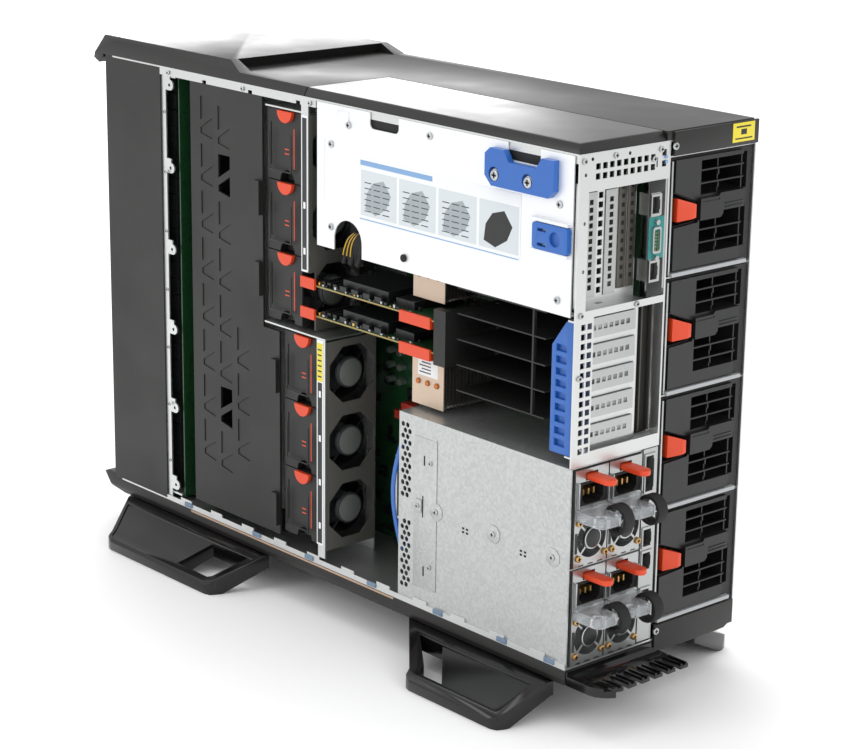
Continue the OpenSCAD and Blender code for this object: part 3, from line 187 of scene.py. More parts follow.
def ramp(material, factor, low, high, first, last):
    """A two-colour ramp on factor, from first at low to last at high."""
    node = add(material, "ShaderNodeValToRGB", {"Fac": factor})
    stops = node.color_ramp.elements
    stops[0].position, stops[0].color = low, first
    stops[1].position, stops[1].color = high, last
    return node.outputs["Color"]


def grey(value):
    """A grey that carries a plain number through a colour ramp."""
    return (value, value, value, 1)


def tie(material, output, socket):
    """Links an output to a socket of the Principled shader."""
    material.node_tree.links.new(output, material.node_tree.nodes["Principled BSDF"].inputs[socket])


# %% [markdown]
# **Plastics.** The covers, strip and fan housings are injection-moulded PC-ABS with a spark-eroded texture:
# a pebbled grain of about half a millimetre that spreads the highlight. The grain is a noise on Object
# coordinates whose scale is one over the grain size, and a slower noise changes the roughness a little.
# %% Moulded plastics
def moulded(name, hex_colour, roughness, grain_mm, depth_mm, **sockets):
    """Moulded plastic with a pebbled grain and faint handling marks."""
    material = finish_for(name, hex_colour, roughness, **sockets)
    vector = place_of(material)
    grain = add(material, "ShaderNodeTexNoise", {"Vector": vector}, Scale=1 / (grain_mm * MM), Detail=2.0)
    marks = add(material, "ShaderNodeTexNoise", {"Vector": vector}, Scale=14.0, Detail=4.0)
    spread = ramp(material, marks.outputs["Fac"], 0.3, 0.7, grey(roughness - 0.05), grey(roughness + 0.07))
    tie(material, spread, "Roughness")
    bump_from(material, grain.outputs["Fac"], depth_mm, 0.5)
    return material


cover_plastic = moulded("textured_pc_abs_cover", "1b1b1a", 0.34, 0.7, 0.02)
strip_plastic = moulded("textured_pc_abs_strip", "1d1b1a", 0.50, 0.7, 0.03)
inner_plastic = moulded("matte_pc_abs_inner", "1a1a19", 0.50, 0.6, 0.02)
gloss_plastic = moulded("gloss_abs_black", "0c0c0c", 0.14, 2.0, 0.01)
fan_plastic = moulded("glass_filled_nylon_grey", "36383a", 0.45, 0.8, 0.03)
orange_plastic = moulded("release_orange_pc", "d8431b", 0.36, 0.8, 0.01)
blue_plastic = moulded("touch_blue_pc", "2a63b4", 0.34, 0.8, 0.01)
bezel_plastic = moulded("blower_bezel_pc_abs", "1a1b1b", 0.36, 0.7, 0.02)
# the lower bar of each blower bezel is the bezel's dark plastic painted light grey: a painted reflection of the bright
# room
bezel_bar_painted_sheen = finish_for("pale_grey_edge", "a9acae", 0.45)
print("plastics ready")

# %% [markdown]
# **Sheet steel.** Bright zinc on cold-rolled sheet keeps the mill's fine rolling lines, so its noise is
# stretched along one axis. The supply cage is hot-dip galvanised: its zinc froze in flat crystals of a few
# millimetres, which a Voronoi cell pattern gives as small steps of grey and of roughness.
# %% Sheet metals
def rolled(name, hex_colour, roughness, metallic=0.9, line_mm=0.5):
    """Rolled sheet with faint lines along X."""
    material = finish_for(name, hex_colour, roughness, metallic)
    vector = place_of(material, (0.04, 1, 1))
    lines = add(material, "ShaderNodeTexNoise", {"Vector": vector}, Scale=1 / (line_mm * MM), Detail=3.0)
    cloud = add(material, "ShaderNodeTexNoise", {"Vector": place_of(material)}, Scale=9.0, Detail=3.0)
    spread = ramp(material, cloud.outputs["Fac"], 0.3, 0.7, grey(roughness - 0.06), grey(roughness + 0.08))
    tie(material, spread, "Roughness")
    bump_from(material, lines.outputs["Fac"], 0.01, 0.35)
    return material


def spangled(name, dark, light, crystal_mm):
    """Galvanised sheet with frozen zinc crystals."""
    material = finish_for(name, light, 0.38, 0.75)
    vector = place_of(material)
    cells = add(material, "ShaderNodeTexVoronoi", {"Vector": vector}, Scale=1 / (crystal_mm * MM))
    shade = ramp(material, cells.outputs["Color"], 0.1, 0.9, linear(dark), linear(light))
    tie(material, shade, "Base Color")
    gloss = ramp(material, cells.outputs["Color"], 0.1, 0.9, grey(0.44), grey(0.38))
    tie(material, gloss, "Roughness")
    return material


zinc_steel = rolled("bright_zinc_sheet", "d3d5d4", 0.33)
white_steel = rolled("satin_zinc_cover", "eceef0", 0.42, 0.45)
nickel_steel = rolled("nickel_plated_sheet", "b4b6b5", 0.30)
galvanised = spangled("galvanised_spangle_sheet", "b6b9b8", "c4c7c6", 2.4)
dark_painted = moulded("powder_coated_steel_dark", "202122", 0.5, 0.5, 0.03)
exhaust_paint = moulded("grey_brown_painted_frame", "5b5a55", 0.5, 0.6, 0.03)
print("metals ready")

# %% [markdown]
# ** Boards and small parts.** Solder mask is a glossy green lacquer over copper tracks, so the tracks show as
# slightly lighter squares. A Voronoi cell pattern of a few millimetres stands for the many small outlines.
# %% Boards, fins and fastenings
def solder_mask(name, dark, light, pitch_mm):
    """Green board lacquer with faint tracks."""
    material = finish_for(name, dark, 0.32)
    vector = place_of(material)
    tracks = add(material, "ShaderNodeTexVoronoi", {"Vector": vector}, Scale=1 / (pitch_mm * MM))
    tracks.distance = "MANHATTAN"
    shade = ramp(material, tracks.outputs["Distance"], 0.35, 0.42, linear(dark), linear(light))
    tie(material, shade, "Base Color")
    return material


board_lacquer = solder_mask("solder_mask_green", "0b2413", "1c4426", 3.0)
fin_aluminium = rolled("thin_fin_aluminium", "8d8a86", 0.4)
copper_plate = finish_for("nickelled_copper_plate", "cdb8a4", 0.38, 0.4)
gold_screw = finish_for("yellow_zinc_screw", "c9a063", 0.28, 0.9)
steel_screw = finish_for("zinc_screw", "bfc1c2", 0.3, 0.9)
rubber = moulded("black_rubber", "111111", 0.7, 0.6, 0.03)
# flat black that stands for the shade inside holes, slots and screw recesses: painted shade, not a finish of the steel
painted_shade_black = finish_for("blackened_recess", "050505", 0.8)
pale_floor = finish_for("pale_floor", "ffffff", 0.9)
floor.data.materials.append(pale_floor)
print("materials:", len(bpy.data.materials))

# %% [markdown]
# ## The CAD nodes
# Each CAD node keeps its shape and takes the finish that the real piece has.
# %% Finish every CAD node
NODE_FINISH = {
    "chassis_floor": zinc_steel, "chassis_roof": zinc_steel, "chassis_side": zinc_steel,
    "mid_wall": zinc_steel, "front_frame": strip_plastic, "base_skirt": strip_plastic,
    "top_cover_front": cover_plastic, "top_cover_rear": cover_plastic, "cable_tray": gloss_plastic,
    "rear_panel": zinc_steel, "slot_covers": nickel_steel, "rear_io": nickel_steel,
    "circuit_boards": board_lacquer, "fan_cage": zinc_steel, "psu_cage": galvanised,
    "drive_cage": zinc_steel, "drive_carriers": dark_painted, "heat_sinks": fin_aluminium,
    "card_guide": inner_plastic, "air_shroud": inner_plastic, "card_cover": white_steel,
    "cover_latch": blue_plastic, "card_clip": blue_plastic, "power_button": steel_screw,
}
NODE_FINISH.update({name: gloss_plastic for name in nodes if name.startswith("foot_")})
NODE_FINISH.update({name: dark_painted for name in nodes if name.startswith("server_")})
NODE_FINISH.update({name: board_lacquer for name in nodes if name.startswith("raid_card_")})
for number in range(1, 5):
    NODE_FINISH[f"psu_{number}"] = nickel_steel
    NODE_FINISH[f"psu_latch_{number}"] = orange_plastic
    NODE_FINISH[f"blower_{number}"] = bezel_plastic
    NODE_FINISH[f"blower_latch_{number}"] = orange_plastic
for number in range(1, 7):
    NODE_FINISH[f"fan_{number}"] = inner_plastic
    NODE_FINISH[f"fan_rotor_{number}"] = fan_plastic
for name, material in NODE_FINISH.items():
    nodes[name].data.materials.clear()
    nodes[name].data.materials.append(material)
print("nodes with a finish:", len(NODE_FINISH))

# %% [markdown]
# ## Tools for pieces
# Every new piece starts as a primitive at its size and place and is shaped in edit mode. These helpers hold
# the steps that come back: start clean, name the piece, give it a finish and let it ride on its body.
# %% Helpers for pieces
REAR_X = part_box("rear_panel")[1].x
NEAR_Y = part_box("chassis_floor")[0].y
FRONT_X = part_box("chassis_floor")[0].x - 12 * MM


def start_clean():
    """Nothing selected, object mode."""
    if bpy.context.object and bpy.context.object.mode != "OBJECT":
        bpy.ops.object.mode_set(mode="OBJECT")
    bpy.ops.object.select_all(action="DESELECT")


def settle(piece, name, material, body):
    """Names the piece, bakes its place into its mesh, paints it and ties it to a body."""
    piece.name = name
    bpy.ops.object.transform_apply(location=True, rotation=True, scale=True)
    if material:
        piece.data.materials.append(material)
    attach(piece, body)
    return piece


def bevel_now(width_mm, segments=2, angle=35):
    """Rounds the sharp edges of the active object and smooths what is left."""
    modifier = bpy.context.object.modifiers.new("bevel", "BEVEL")
    modifier.width = width_mm * MM
    modifier.segments = segments
    modifier.limit_method = "ANGLE"
    modifier.angle_limit = math.radians(angle)
    bpy.ops.object.modifier_apply(modifier=modifier.name)
    bpy.ops.object.shade_smooth_by_angle(angle=math.radians(angle))


def block(name, low, high, material, body, round_mm=0.6):
    """A moulded or folded block between two corners, with its edges rounded."""
    start_clean()
    low, high = Vector(low), Vector(high)
    bpy.ops.mesh.primitive_cube_add(size=1, location=(low + high) / 2)
    bpy.context.object.scale = high - low
    bpy.ops.object.transform_apply(scale=True)
    bevel_now(round_mm)
    return settle(bpy.context.object, name, material, body)


def outline(name, points, depth, material, body, axis="Y", round_mm=0.6):
    """A flat outline, filled and extruded along axis by depth, with its edges rounded.
    Points are (x, z) on a Y axis, (y, z) on an X axis and (x, y) on a Z axis, each with its start last."""
    start_clean()
    bpy.ops.mesh.primitive_circle_add(vertices=len(points[0]), radius=1, fill_type="NGON")
    piece = bpy.context.object
    flat, base = points
    for vertex, (a, b) in zip(piece.data.vertices, flat):
        vertex.co = {"Y": (a, base, b), "X": (base, a, b), "Z": (a, b, base)}[axis]
    bpy.ops.object.mode_set(mode="EDIT")
    bpy.ops.mesh.select_all(action="SELECT")
    move = {"Y": (0, depth, 0), "X": (depth, 0, 0), "Z": (0, 0, depth)}[axis]
    bpy.ops.mesh.extrude_region_move(TRANSFORM_OT_translate={"value": move})
    bpy.ops.mesh.select_all(action="SELECT")
    bpy.ops.mesh.normals_make_consistent(inside=False)
    bpy.ops.object.mode_set(mode="OBJECT")
    if round_mm:
        bevel_now(round_mm)
    return settle(piece, name, material, body)


def disc(name, place, axis, radius, depth, material, body, rim_mm=0.4, dish_mm=0.0, sides=32):
    """A turned disc whose face looks along axis, with a rounded rim and, if asked, a dished middle."""
    start_clean()
    turn_to = Vector(axis).to_track_quat("Z", "Y").to_euler()
    bpy.ops.mesh.primitive_cylinder_add(vertices=sides, radius=radius, depth=depth, location=place, rotation=turn_to)
    piece = bpy.context.object
    if dish_mm:
        bpy.ops.object.mode_set(mode="EDIT")
        bpy.ops.mesh.select_all(action="DESELECT")
        bpy.ops.object.mode_set(mode="OBJECT")
        for face in piece.data.polygons:
            face.select = face.normal.z > 0.9
        bpy.ops.object.mode_set(mode="EDIT")
        bpy.ops.mesh.inset(thickness=radius * 0.35)
        bpy.ops.mesh.inset(thickness=radius * 0.06)
        bpy.ops.transform.translate(value=-Vector(axis).normalized() * dish_mm * MM)
        bpy.ops.object.mode_set(mode="OBJECT")
    bevel_now(rim_mm, 2)
    return settle(piece, name, material, body)


def join_all(parts, name):
    """Joins several copies into one piece with one name."""
    start_clean()
    for part in parts:
        part.select_set(True)
    bpy.context.view_layer.objects.active = parts[0]
    bpy.ops.object.join()
    parts[0].name = name
    return parts[0]


def soften(node, width_mm, wanted, material=None, segments=3):
    """A copy of a CAD node with chosen sharp edges rounded, which stands for the node."""
    start_clean()
    nodes[node].select_set(True)
    bpy.context.view_layer.objects.active = nodes[node]
    bpy.ops.object.duplicate()
    piece = bpy.context.object
    piece.name = f"{node}_moulded"
    for key in [key for key in piece.keys() if key.startswith("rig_")]:
        del piece[key]
    bpy.ops.object.parent_clear(type="CLEAR_KEEP_TRANSFORM")
    bpy.ops.object.mode_set(mode="EDIT")
    bpy.ops.mesh.select_all(action="SELECT")
    bpy.ops.mesh.remove_doubles(threshold=0.00002)
    bpy.ops.mesh.dissolve_limited(angle_limit=math.radians(1))
    bpy.ops.mesh.select_mode(type="EDGE")
    bpy.ops.mesh.select_all(action="DESELECT")
    bpy.ops.mesh.edges_select_sharp(sharpness=math.radians(25))
    bpy.ops.object.mode_set(mode="OBJECT")
    corners = piece.data.vertices
    for edge in piece.data.edges:
        if edge.select:
            a, b = (corners[i].co for i in edge.vertices)
            edge.select = bool(wanted((a + b) / 2, (b - a).length, (b - a).normalized()))
    bpy.ops.object.mode_set(mode="EDIT")
    bpy.ops.mesh.bevel(offset=width_mm * MM, segments=segments, clamp_overlap=True)
    bpy.ops.object.mode_set(mode="OBJECT")
    bpy.ops.object.shade_smooth_by_angle(angle=math.radians(32))
    if material:
        piece.data.materials.clear()
        piece.data.materials.append(material)
    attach(piece, nodes[node]["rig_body"])
    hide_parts(node)
    return piece


print("rear plane at", round(REAR_X, 4), "service side at", round(NEAR_Y, 4))

# %% [markdown]
# ## Moulded edges
# A moulded cover never ends in a knife edge: the tool has a radius, and that radius catches a thin line of
# light. The feet, skirt, covers, clip and latches are copied from the solids and get that radius here.
# %% Round the moulded parts
LONG = 12 * MM
for name in [n for n in nodes if n.startswith("foot_")]:
    soften(name, 2.4, lambda middle, length, way: length > 2 * MM and middle.z > 2 * MM, segments=3)
soften("base_skirt", 1.6, lambda middle, length, way: length > LONG)
soften("top_cover_front", 1.4, lambda middle, length, way: length > LONG and middle.z > 0.484)
soften("top_cover_rear", 1.2, lambda middle, length, way: length > LONG and middle.z > 0.484)
soften("cable_tray", 0.7, lambda middle, length, way: length > 4 * MM and middle.z > 0.044)
for number in range(1, 5):
    soften(f"psu_latch_{number}", 1.1, lambda middle, length, way: middle.x > REAR_X and length > 3 * MM)
    soften(f"blower_latch_{number}", 1.2, lambda middle, length, way: middle.x > REAR_X - 3 * MM and length > 3 * MM)
soften("cover_latch", 0.9, lambda middle, length, way: middle.y < NEAR_Y - 4 * MM)
soften("card_clip", 0.8, lambda middle, length, way: length > 4 * MM)
print("rounded parts ready")

# %% [markdown]
# ## One node, several finishes
# A node such as a power supply holds several bonded solids: a plated shell, a black inlet, a clear handle.
# Its mesh is not changed, but each connected solid's faces may point at another material slot.
# %% Paint single solids
def solids_of(item):
    """For each connected solid of a mesh: its face numbers and the two corners of its box."""
    mesh = item.data
    corners = {}
    shared = [corners.setdefault(tuple(round(c, 6) for c in v.co), len(corners)) for v in mesh.vertices]
    parent = list(range(len(corners)))

    def root(a):
        while parent[a] != a:
            parent[a] = parent[parent[a]]
            a = parent[a]
        return a

    for face in mesh.polygons:
        first, *rest = (shared[v] for v in face.vertices)
        for other in rest:
            parent[root(other)] = root(first)
    groups = {}
    for face in mesh.polygons:
        groups.setdefault(root(shared[face.vertices[0]]), []).append(face.index)
    found = []
    for faces in groups.values():
        points = [item.matrix_world @ mesh.vertices[v].co for f in faces for v in mesh.polygons[f].vertices]
        low = Vector([min(p[i] for p in points) for i in range(3)])
        high = Vector([max(p[i] for p in points) for i in range(3)])
        found.append((faces, low, high))
    return found


def paint_solids(name, choose):
    """choose(low, size) gives the material of one solid, or None to leave it."""
    item = nodes[name]
    slots = {}
    for faces, low, high in solids_of(item):
        material = choose(low, high - low)
        if material is None:
            continue
        if material.name not in slots:
            item.data.materials.append(material)
            slots[material.name] = len(item.data.materials) - 1
        for face in faces:
            item.data.polygons[face].material_index = slots[material.name]
    return len(slots)


def supply_finish(low, size):
    if size.x > 150 * MM:
        return None
    if size.x > 28 * MM and size.z < 30 * MM and size.y > 28 * MM:
        return clear_plastic
    return gold_screw if min(size) < 1.7 * MM or max(size) < 6 * MM else rubber


def card_finish(low, size):
    if size.x > 150 * MM:
        return None
    return orange_plastic if low.y < NEAR_Y + 2 * MM else chip_black


def board_finish(low, size):
    return None if min(size) < 3 * MM and sorted(size)[1] > 60 * MM else chip_black


clear_plastic = finish_for("clear_polycarbonate", "dfe3e6", 0.12, Transmission_Weight=0.75, IOR=1.45)
chip_black = finish_for("epoxy_chip_package", "17181a", 0.4)
for number in range(1, 5):
    paint_solids(f"psu_{number}", supply_finish)
    # the bezel's flat bar gets a light grey that is a painted reflection; the rest of the bezel keeps its dark plastic
    paint_solids(f"blower_{number}", lambda low, size: None if size.x > 60 * MM else
                 (bezel_plastic if size.z > 60 * MM else bezel_bar_painted_sheen))
    nodes[f"blower_{number}"].data.materials[0] = inner_plastic
for number in range(1, 7):
    paint_solids(f"fan_{number}", lambda low, size: None if size.z > 40 * MM else orange_plastic)
for number in (1, 2):
    paint_solids(f"raid_card_{number}", card_finish)
paint_solids("card_cover", lambda low, size: blue_plastic if 60 * MM < size.x < 120 * MM else None)
paint_solids("heat_sinks", lambda low, size: copper_plate if size.y < 3 * MM else None)
paint_solids("circuit_boards", board_finish)
paint_solids("fan_cage", lambda low, size: exhaust_paint if size.x < 20 * MM and size.y > 30 * MM else None)
print("solids painted")

# %% [markdown]
# ## Small pieces
# Many small parts of one kind go into one mesh, so that a row of screws stays one object. A helper adds boxes
# in edit mode and bevels them all at once, and another copies a finished screw along a list of places.
# %% Helpers for rows of small parts
def at(x, y, z):
    """A point given in millimetres."""
    return Vector((x, y, z)) * MM


def blocks(name, boxes, material, body, round_mm=0.3):
    """Many bevelled blocks in one piece. boxes are pairs of corners in millimetres."""
    start_clean()
    bpy.ops.object.add(type="MESH", location=(0, 0, 0))
    bpy.ops.object.mode_set(mode="EDIT")
    for low, high in boxes:
        low, high = at(*low), at(*high)
        bpy.ops.mesh.primitive_cube_add(size=1, location=(low + high) / 2, scale=high - low)
    bpy.ops.object.mode_set(mode="OBJECT")
    if round_mm:
        bevel_now(round_mm, 2)
    return settle(bpy.context.object, name, material, body)


def spread(piece, places):
    """Copies a piece's mesh from its first place to every other place, within the same mesh."""
    start_clean()
    piece.select_set(True)
    bpy.context.view_layer.objects.active = piece
    bpy.ops.object.mode_set(mode="EDIT")
    bpy.ops.mesh.select_all(action="SELECT")
    for here, there in zip(places, places[1:]):
        bpy.ops.mesh.duplicate_move(TRANSFORM_OT_translate={"value": Vector(there) - Vector(here)})
    bpy.ops.object.mode_set(mode="OBJECT")
    return piece


def screws(name, places, axis, radius_mm, body, material=None, tall_mm=1.6):
    """Pan-head screws with a cross recess. places are in millimetres, axis is the way the heads look."""
    places = [at(*p) for p in places]
    away = Vector(axis)
    head = disc(name, places[0] + away * tall_mm * MM / 2, axis, radius_mm * MM, tall_mm * MM,
                material or steel_screw, body, rim_mm=tall_mm * 0.4, sides=24)
    across = [Vector(v) for v in ((1, 0, 0), (0, 1, 0), (0, 0, 1)) if abs(Vector(v).dot(away)) < 0.5]
    arms = []
    for number, long_way in enumerate(across):
        start_clean()
        size = Vector((0.35, 0.35, 0.35)) * radius_mm * MM
        size = Vector([1.1 * radius_mm * MM if abs(w) > 0.5 else s for w, s in zip(long_way, size)])
        size = Vector([0.12 * MM if abs(a) > 0.5 else s for a, s in zip(away, size)])
        # the cross recess is a thin black bar on the head: painted shade where the recess would be
        bpy.ops.mesh.primitive_cube_add(size=1, location=places[0] + away * (tall_mm + 0.04) * MM)
        bpy.context.object.scale = size
        arms.append(settle(bpy.context.object, f"{name}_arm_{number}", painted_shade_black, body))
    return spread(join_all([head] + arms, name), places)


def wire(name, points, radius_mm, material, body):
    """A round wire on a smooth path through points given in millimetres."""
    start_clean()
    bpy.ops.curve.primitive_nurbs_path_add(location=(0, 0, 0))
    path = bpy.context.object
    spline = path.data.splines[0]
    spline.points.add(max(0, len(points) - len(spline.points)))
    for number, point in enumerate(spline.points):
        spot = at(*points[min(number, len(points) - 1)])
        point.co = (spot.x, spot.y, spot.z, 1)
    spline.order_u = 3
    spline.use_endpoint_u = True
    path.data.bevel_depth = radius_mm * MM
    path.data.bevel_resolution = 3
    path.data.resolution_u = 8
    path.data.use_fill_caps = True
    bpy.ops.object.convert(target="MESH")
    bpy.ops.object.shade_smooth()
    return settle(bpy.context.object, name, material, body)


def twin_of(piece, name, shift, body):
    """A copy of a piece with its own mesh, moved by shift and tied to another body."""
    start_clean()
    piece.select_set(True)
    bpy.context.view_layer.objects.active = piece
    bpy.ops.object.duplicate()
    twin = bpy.context.object
    for key in [key for key in twin.keys() if key.startswith("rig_")]:
        del twin[key]
    bpy.ops.object.parent_clear(type="CLEAR_KEEP_TRANSFORM")
    bpy.ops.transform.translate(value=shift)
    return settle(twin, name, None, body)


def corner_mm(name):
    """The low and the high corner of a node in millimetres."""
    low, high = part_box(name)
    return low / MM, high / MM


paper = finish_for("label_paper_satin", "e9ebec", 0.45)
ink = finish_for("label_ink_black", "26282a", 0.5)
ink_grey = finish_for("label_ink_grey", "9da5aa", 0.5)
ink_blue = finish_for("label_ink_blue", "7fa5cf", 0.5)
ink_yellow = finish_for("label_ink_yellow", "e3d23a", 0.45)
teal_plastic = finish_for("serial_socket_teal", "1d7f7d", 0.4)
contact_gold = finish_for("contact_gold", "d8b25a", 0.25, 0.9)
connector_red = finish_for("power_connector_red", "b3372b", 0.4)
NEAR = NEAR_Y / MM
REAR = REAR_X / MM
print("service plane", round(NEAR, 1), "rear plane", round(REAR, 1))

# %% [markdown]
# **Card cover.** A long satin label lies along the middle of the cover. Its drawings are only tones here:
# grey blocks for hands and cards, a pale blue heading and a few lines. The blue handle holds two captive
# screws, and a black pad shows behind each hand hole.
# %% Card cover
cover_low, cover_high = corner_mm("card_cover")
CX = cover_low.x
FACE = NEAR
LABEL = (CX + 58, CX + 262, 385, 441)
blocks("cover_label", [((LABEL[0], FACE - 0.3, LABEL[2]), (LABEL[1], FACE + 0.05, LABEL[3]))], paper,
       "card_cover", 0.1)
blocks("cover_label_heading", [((LABEL[0] + 2, FACE - 0.36, 434), (LABEL[0] + 96, FACE - 0.25, 438.5)),
                               ((LABEL[0] + 2, FACE - 0.36, 386.2), (LABEL[1] - 2, FACE - 0.25, 387.2))],
       ink_blue, "card_cover", 0.05)
panels = [(LABEL[0] + 3 + k * 50.5, LABEL[0] + 50.5 + k * 50.5) for k in range(4)]
blocks("cover_label_panels", [((a, FACE - 0.36, 390), (b, FACE - 0.25, 430)) for a, b in panels],
       finish_for("label_tint_grey", "cfd6da", 0.5), "card_cover", 0.05)
shapes = []
for k, (a, b) in enumerate(panels):
    shapes.append([(a + 6, 396), (a + 20, 392), (a + 34, 400), (a + 40, 412), (a + 30, 424), (a + 16, 420),
                   (a + 8, 410)])
for k, shape in enumerate(shapes):
    outline(f"cover_label_shape_{k}", ([(x * MM, z * MM) for x, z in shape], (FACE - 0.36) * MM), -0.05 * MM,
            ink_grey if k < 3 else chip_black, "card_cover", "Y", 0)
blocks("cover_label_lines", [((a + 5 + 12 * j, FACE - 0.45, 394 + 5 * i), (a + 14 + 12 * j, FACE - 0.33, 394.8 + 5 * i))
                             for a, b in panels[:3] for i in range(6) for j in range(3)],
       ink, "card_cover", 0)
screws("cover_handle_screws", [(CX + 235, FACE - 4.4, 453), (CX + 274, FACE - 4.4, 453)], (0, -1, 0), 4.6, "card_cover")
blocks("cover_pads", [((CX + 68, FACE + 2, 463), (CX + 114, FACE + 5, 480)),
                      ((CX + 240, FACE + 2, 463), (CX + 288, FACE + 5, 480))], rubber, "card_cover", 0.8)
screws("cover_screws", [(CX + 306, FACE, 440), (CX + 20, FACE, 446), (CX + 20, FACE, 372), (CX + 306, FACE, 362),
                        (CX + 150, FACE, 472), (CX + 44, FACE, 466)], (0, -1, 0), 3.2, "card_cover")
disc("cover_knob", at(CX + 119, FACE - 1.2, 362), (0, -1, 0), 3.4 * MM, 2.4 * MM, rubber, "card_cover", 0.8)
blocks("cover_emboss", [((CX + 9.4, FACE + 0.2, cover_high.z - 93), (CX + 14.6, FACE + 0.8, cover_high.z - 31))], white_steel,
       "card_cover", 0.2)
blocks("cover_tab", [((CX + 29, FACE - 1.4, 468), (CX + 44, FACE + 0.4, 477))], white_steel, "card_cover", 0.5)
print("card cover dressed")

# %% [markdown]
# **Supply cage.** Three pads are pressed out of the galvanised side, each with a screw, and small slots lie
# between them. A blue grab strap bows out beside the cage's inner edge.
# %% Supply cage
cage_low, cage_high = corner_mm("psu_cage")
SIDE = cage_low.y
for number, x in enumerate((150.5, 223.5, 295.5)):
    ring = [((x + 8.5 * math.cos(math.radians(22.5 + 45 * k))) * MM, (143.5 + 8.5 * math.sin(math.radians(22.5 + 45 * k))) * MM)
            for k in range(8)]
    outline(f"cage_pad_{number}", (ring, SIDE * MM), -0.7 * MM, galvanised, "chassis", "Y", 0.5)
flange = [(121, 207), (147, 207), (150, 205.8), (151, 203), (151, 72), (150, 69), (147, 68), (121, 68)]
outline("cage_flange", ([(x * MM, z * MM) for x, z in flange], SIDE * MM), -0.6 * MM, galvanised, "chassis", "Y", 0.3)
blocks("cage_tab", [((124, SIDE - 2, 138), (132, SIDE - 0.4, 150))], galvanised, "chassis", 0.7)
# the flange slots are flush black blocks: painted shade where the openings are
blocks("cage_flange_slots", [((134, SIDE - 0.75, z), (135.6, SIDE - 0.5, z + 9)) for z in (80, 182)] +
       [((132.6, SIDE - 0.75, 134), (133.8, SIDE - 0.5, 154))], painted_shade_black, "chassis", 0)
screws("cage_flange_screws", [(128, SIDE - 2, 144), (143, SIDE - 0.6, 186), (143, SIDE - 0.6, 90)], (0, -1, 0), 2.2, "chassis")
screws("cage_screws", [(x, SIDE - 0.7, 143.5) for x in (150.5, 223.5, 295.5)], (0, -1, 0), 2.8, "chassis")
# the small slots are flush black blocks: painted shade where the openings are
blocks("cage_slots", [((x + dx, SIDE - 0.15, 134 + dz), (x + dx + 2.6, SIDE + 0.1, 135.8 + dz))
                      for x in (184, 256) for dx in (0, 5) for dz in (0, 3.4)], painted_shade_black, "chassis", 0)
bow = [(100 - 12 * math.sin(math.pi * k / 14), 96 + 100 * k / 14) for k in range(15)]
bow_points = bow + [(x + 5, z) for x, z in reversed(bow)]
outline("grab_strap", ([(x * MM, z * MM) for x, z in bow_points], (SIDE + 1) * MM), 9 * MM, blue_plastic,
        "chassis", "Y", 0.8)
print("cage dressed")

# %% [markdown]
# **Fans.** Each housing carries a printed strip and two moulded ribs. Behind the wall each exhaust ring has a
# hub on four arms. A long label runs down each fan column, with marks of generic length and one yellow field.
# %% Fans
for number in range(1, 7):
    low, high = corner_mm(f"fan_{number}")
    x0, x1, z_low, z_high, y = low.x, high.x, low.z, high.z, low.y
    body = f"fan_{number}"
    blocks(f"fan_rib_{number}", [((x0 + 7, y - 0.6, z_low + 10), (x0 + 8.4, y + 0.3, z_high - 20)),
                                 ((x1 - 12, y - 0.6, z_low + 10), (x1 - 10.6, y + 0.3, z_high - 20)),
                                 ((x0 + 7, y - 0.6, z_low + 9), (x1 - 10.6, y + 0.3, z_low + 10.4))],
           inner_plastic, body, 0.3)
    blocks(f"fan_print_{number}", [((x1 - 7, y - 0.12, z_low + 14), (x1 - 6, y + 0.1, z_high - 14)),
                                   ((x1 - 20, y - 0.12, z_low + 26), (x1 - 14, y + 0.1, z_low + 27)),
                                   ((x1 - 20, y - 0.12, z_low + 30), (x1 - 14, y + 0.1, z_low + 31))],
           orange_plastic, body, 0)
strips = [(-34.5, -25.5, 324, 466), (-12.5, -3.5, 69, 265)]
blocks("column_labels", [((a, NEAR - 0.4, lo), (b, NEAR + 0.1, hi)) for a, b, lo, hi in strips], paper, "chassis", 0.1)
blocks("column_label_dark", [((-33.2, NEAR - 0.46, 326), (-26.8, NEAR - 0.38, 464)),
                             ((-11.2, NEAR - 0.46, 71), (-4.8, NEAR - 0.38, 225))], ink, "chassis", 0)
marks = [((a + 3, NEAR - 0.52, z), (a + 6, NEAR - 0.44, z + 6)) for a, b, lo, hi in strips
         for z in range(lo + 16, hi - 50, 42)]
blocks("column_label_marks", marks, paper, "chassis", 0)
blocks("column_label_field", [((-12, NEAR - 0.5, 226), (-4, NEAR - 0.35, 262))], ink_yellow, "chassis", 0)
blocks("column_label_lines", [((-11, NEAR - 0.6, 230 + 5 * k), (-5.5, NEAR - 0.45, 231.4 + 5 * k)) for k in range(6)],
       ink, "chassis", 0)
cage_fan_low, cage_fan_high = corner_mm("fan_cage")
hub_label = finish_for("hub_label_grey", "6a6e6a", 0.6)
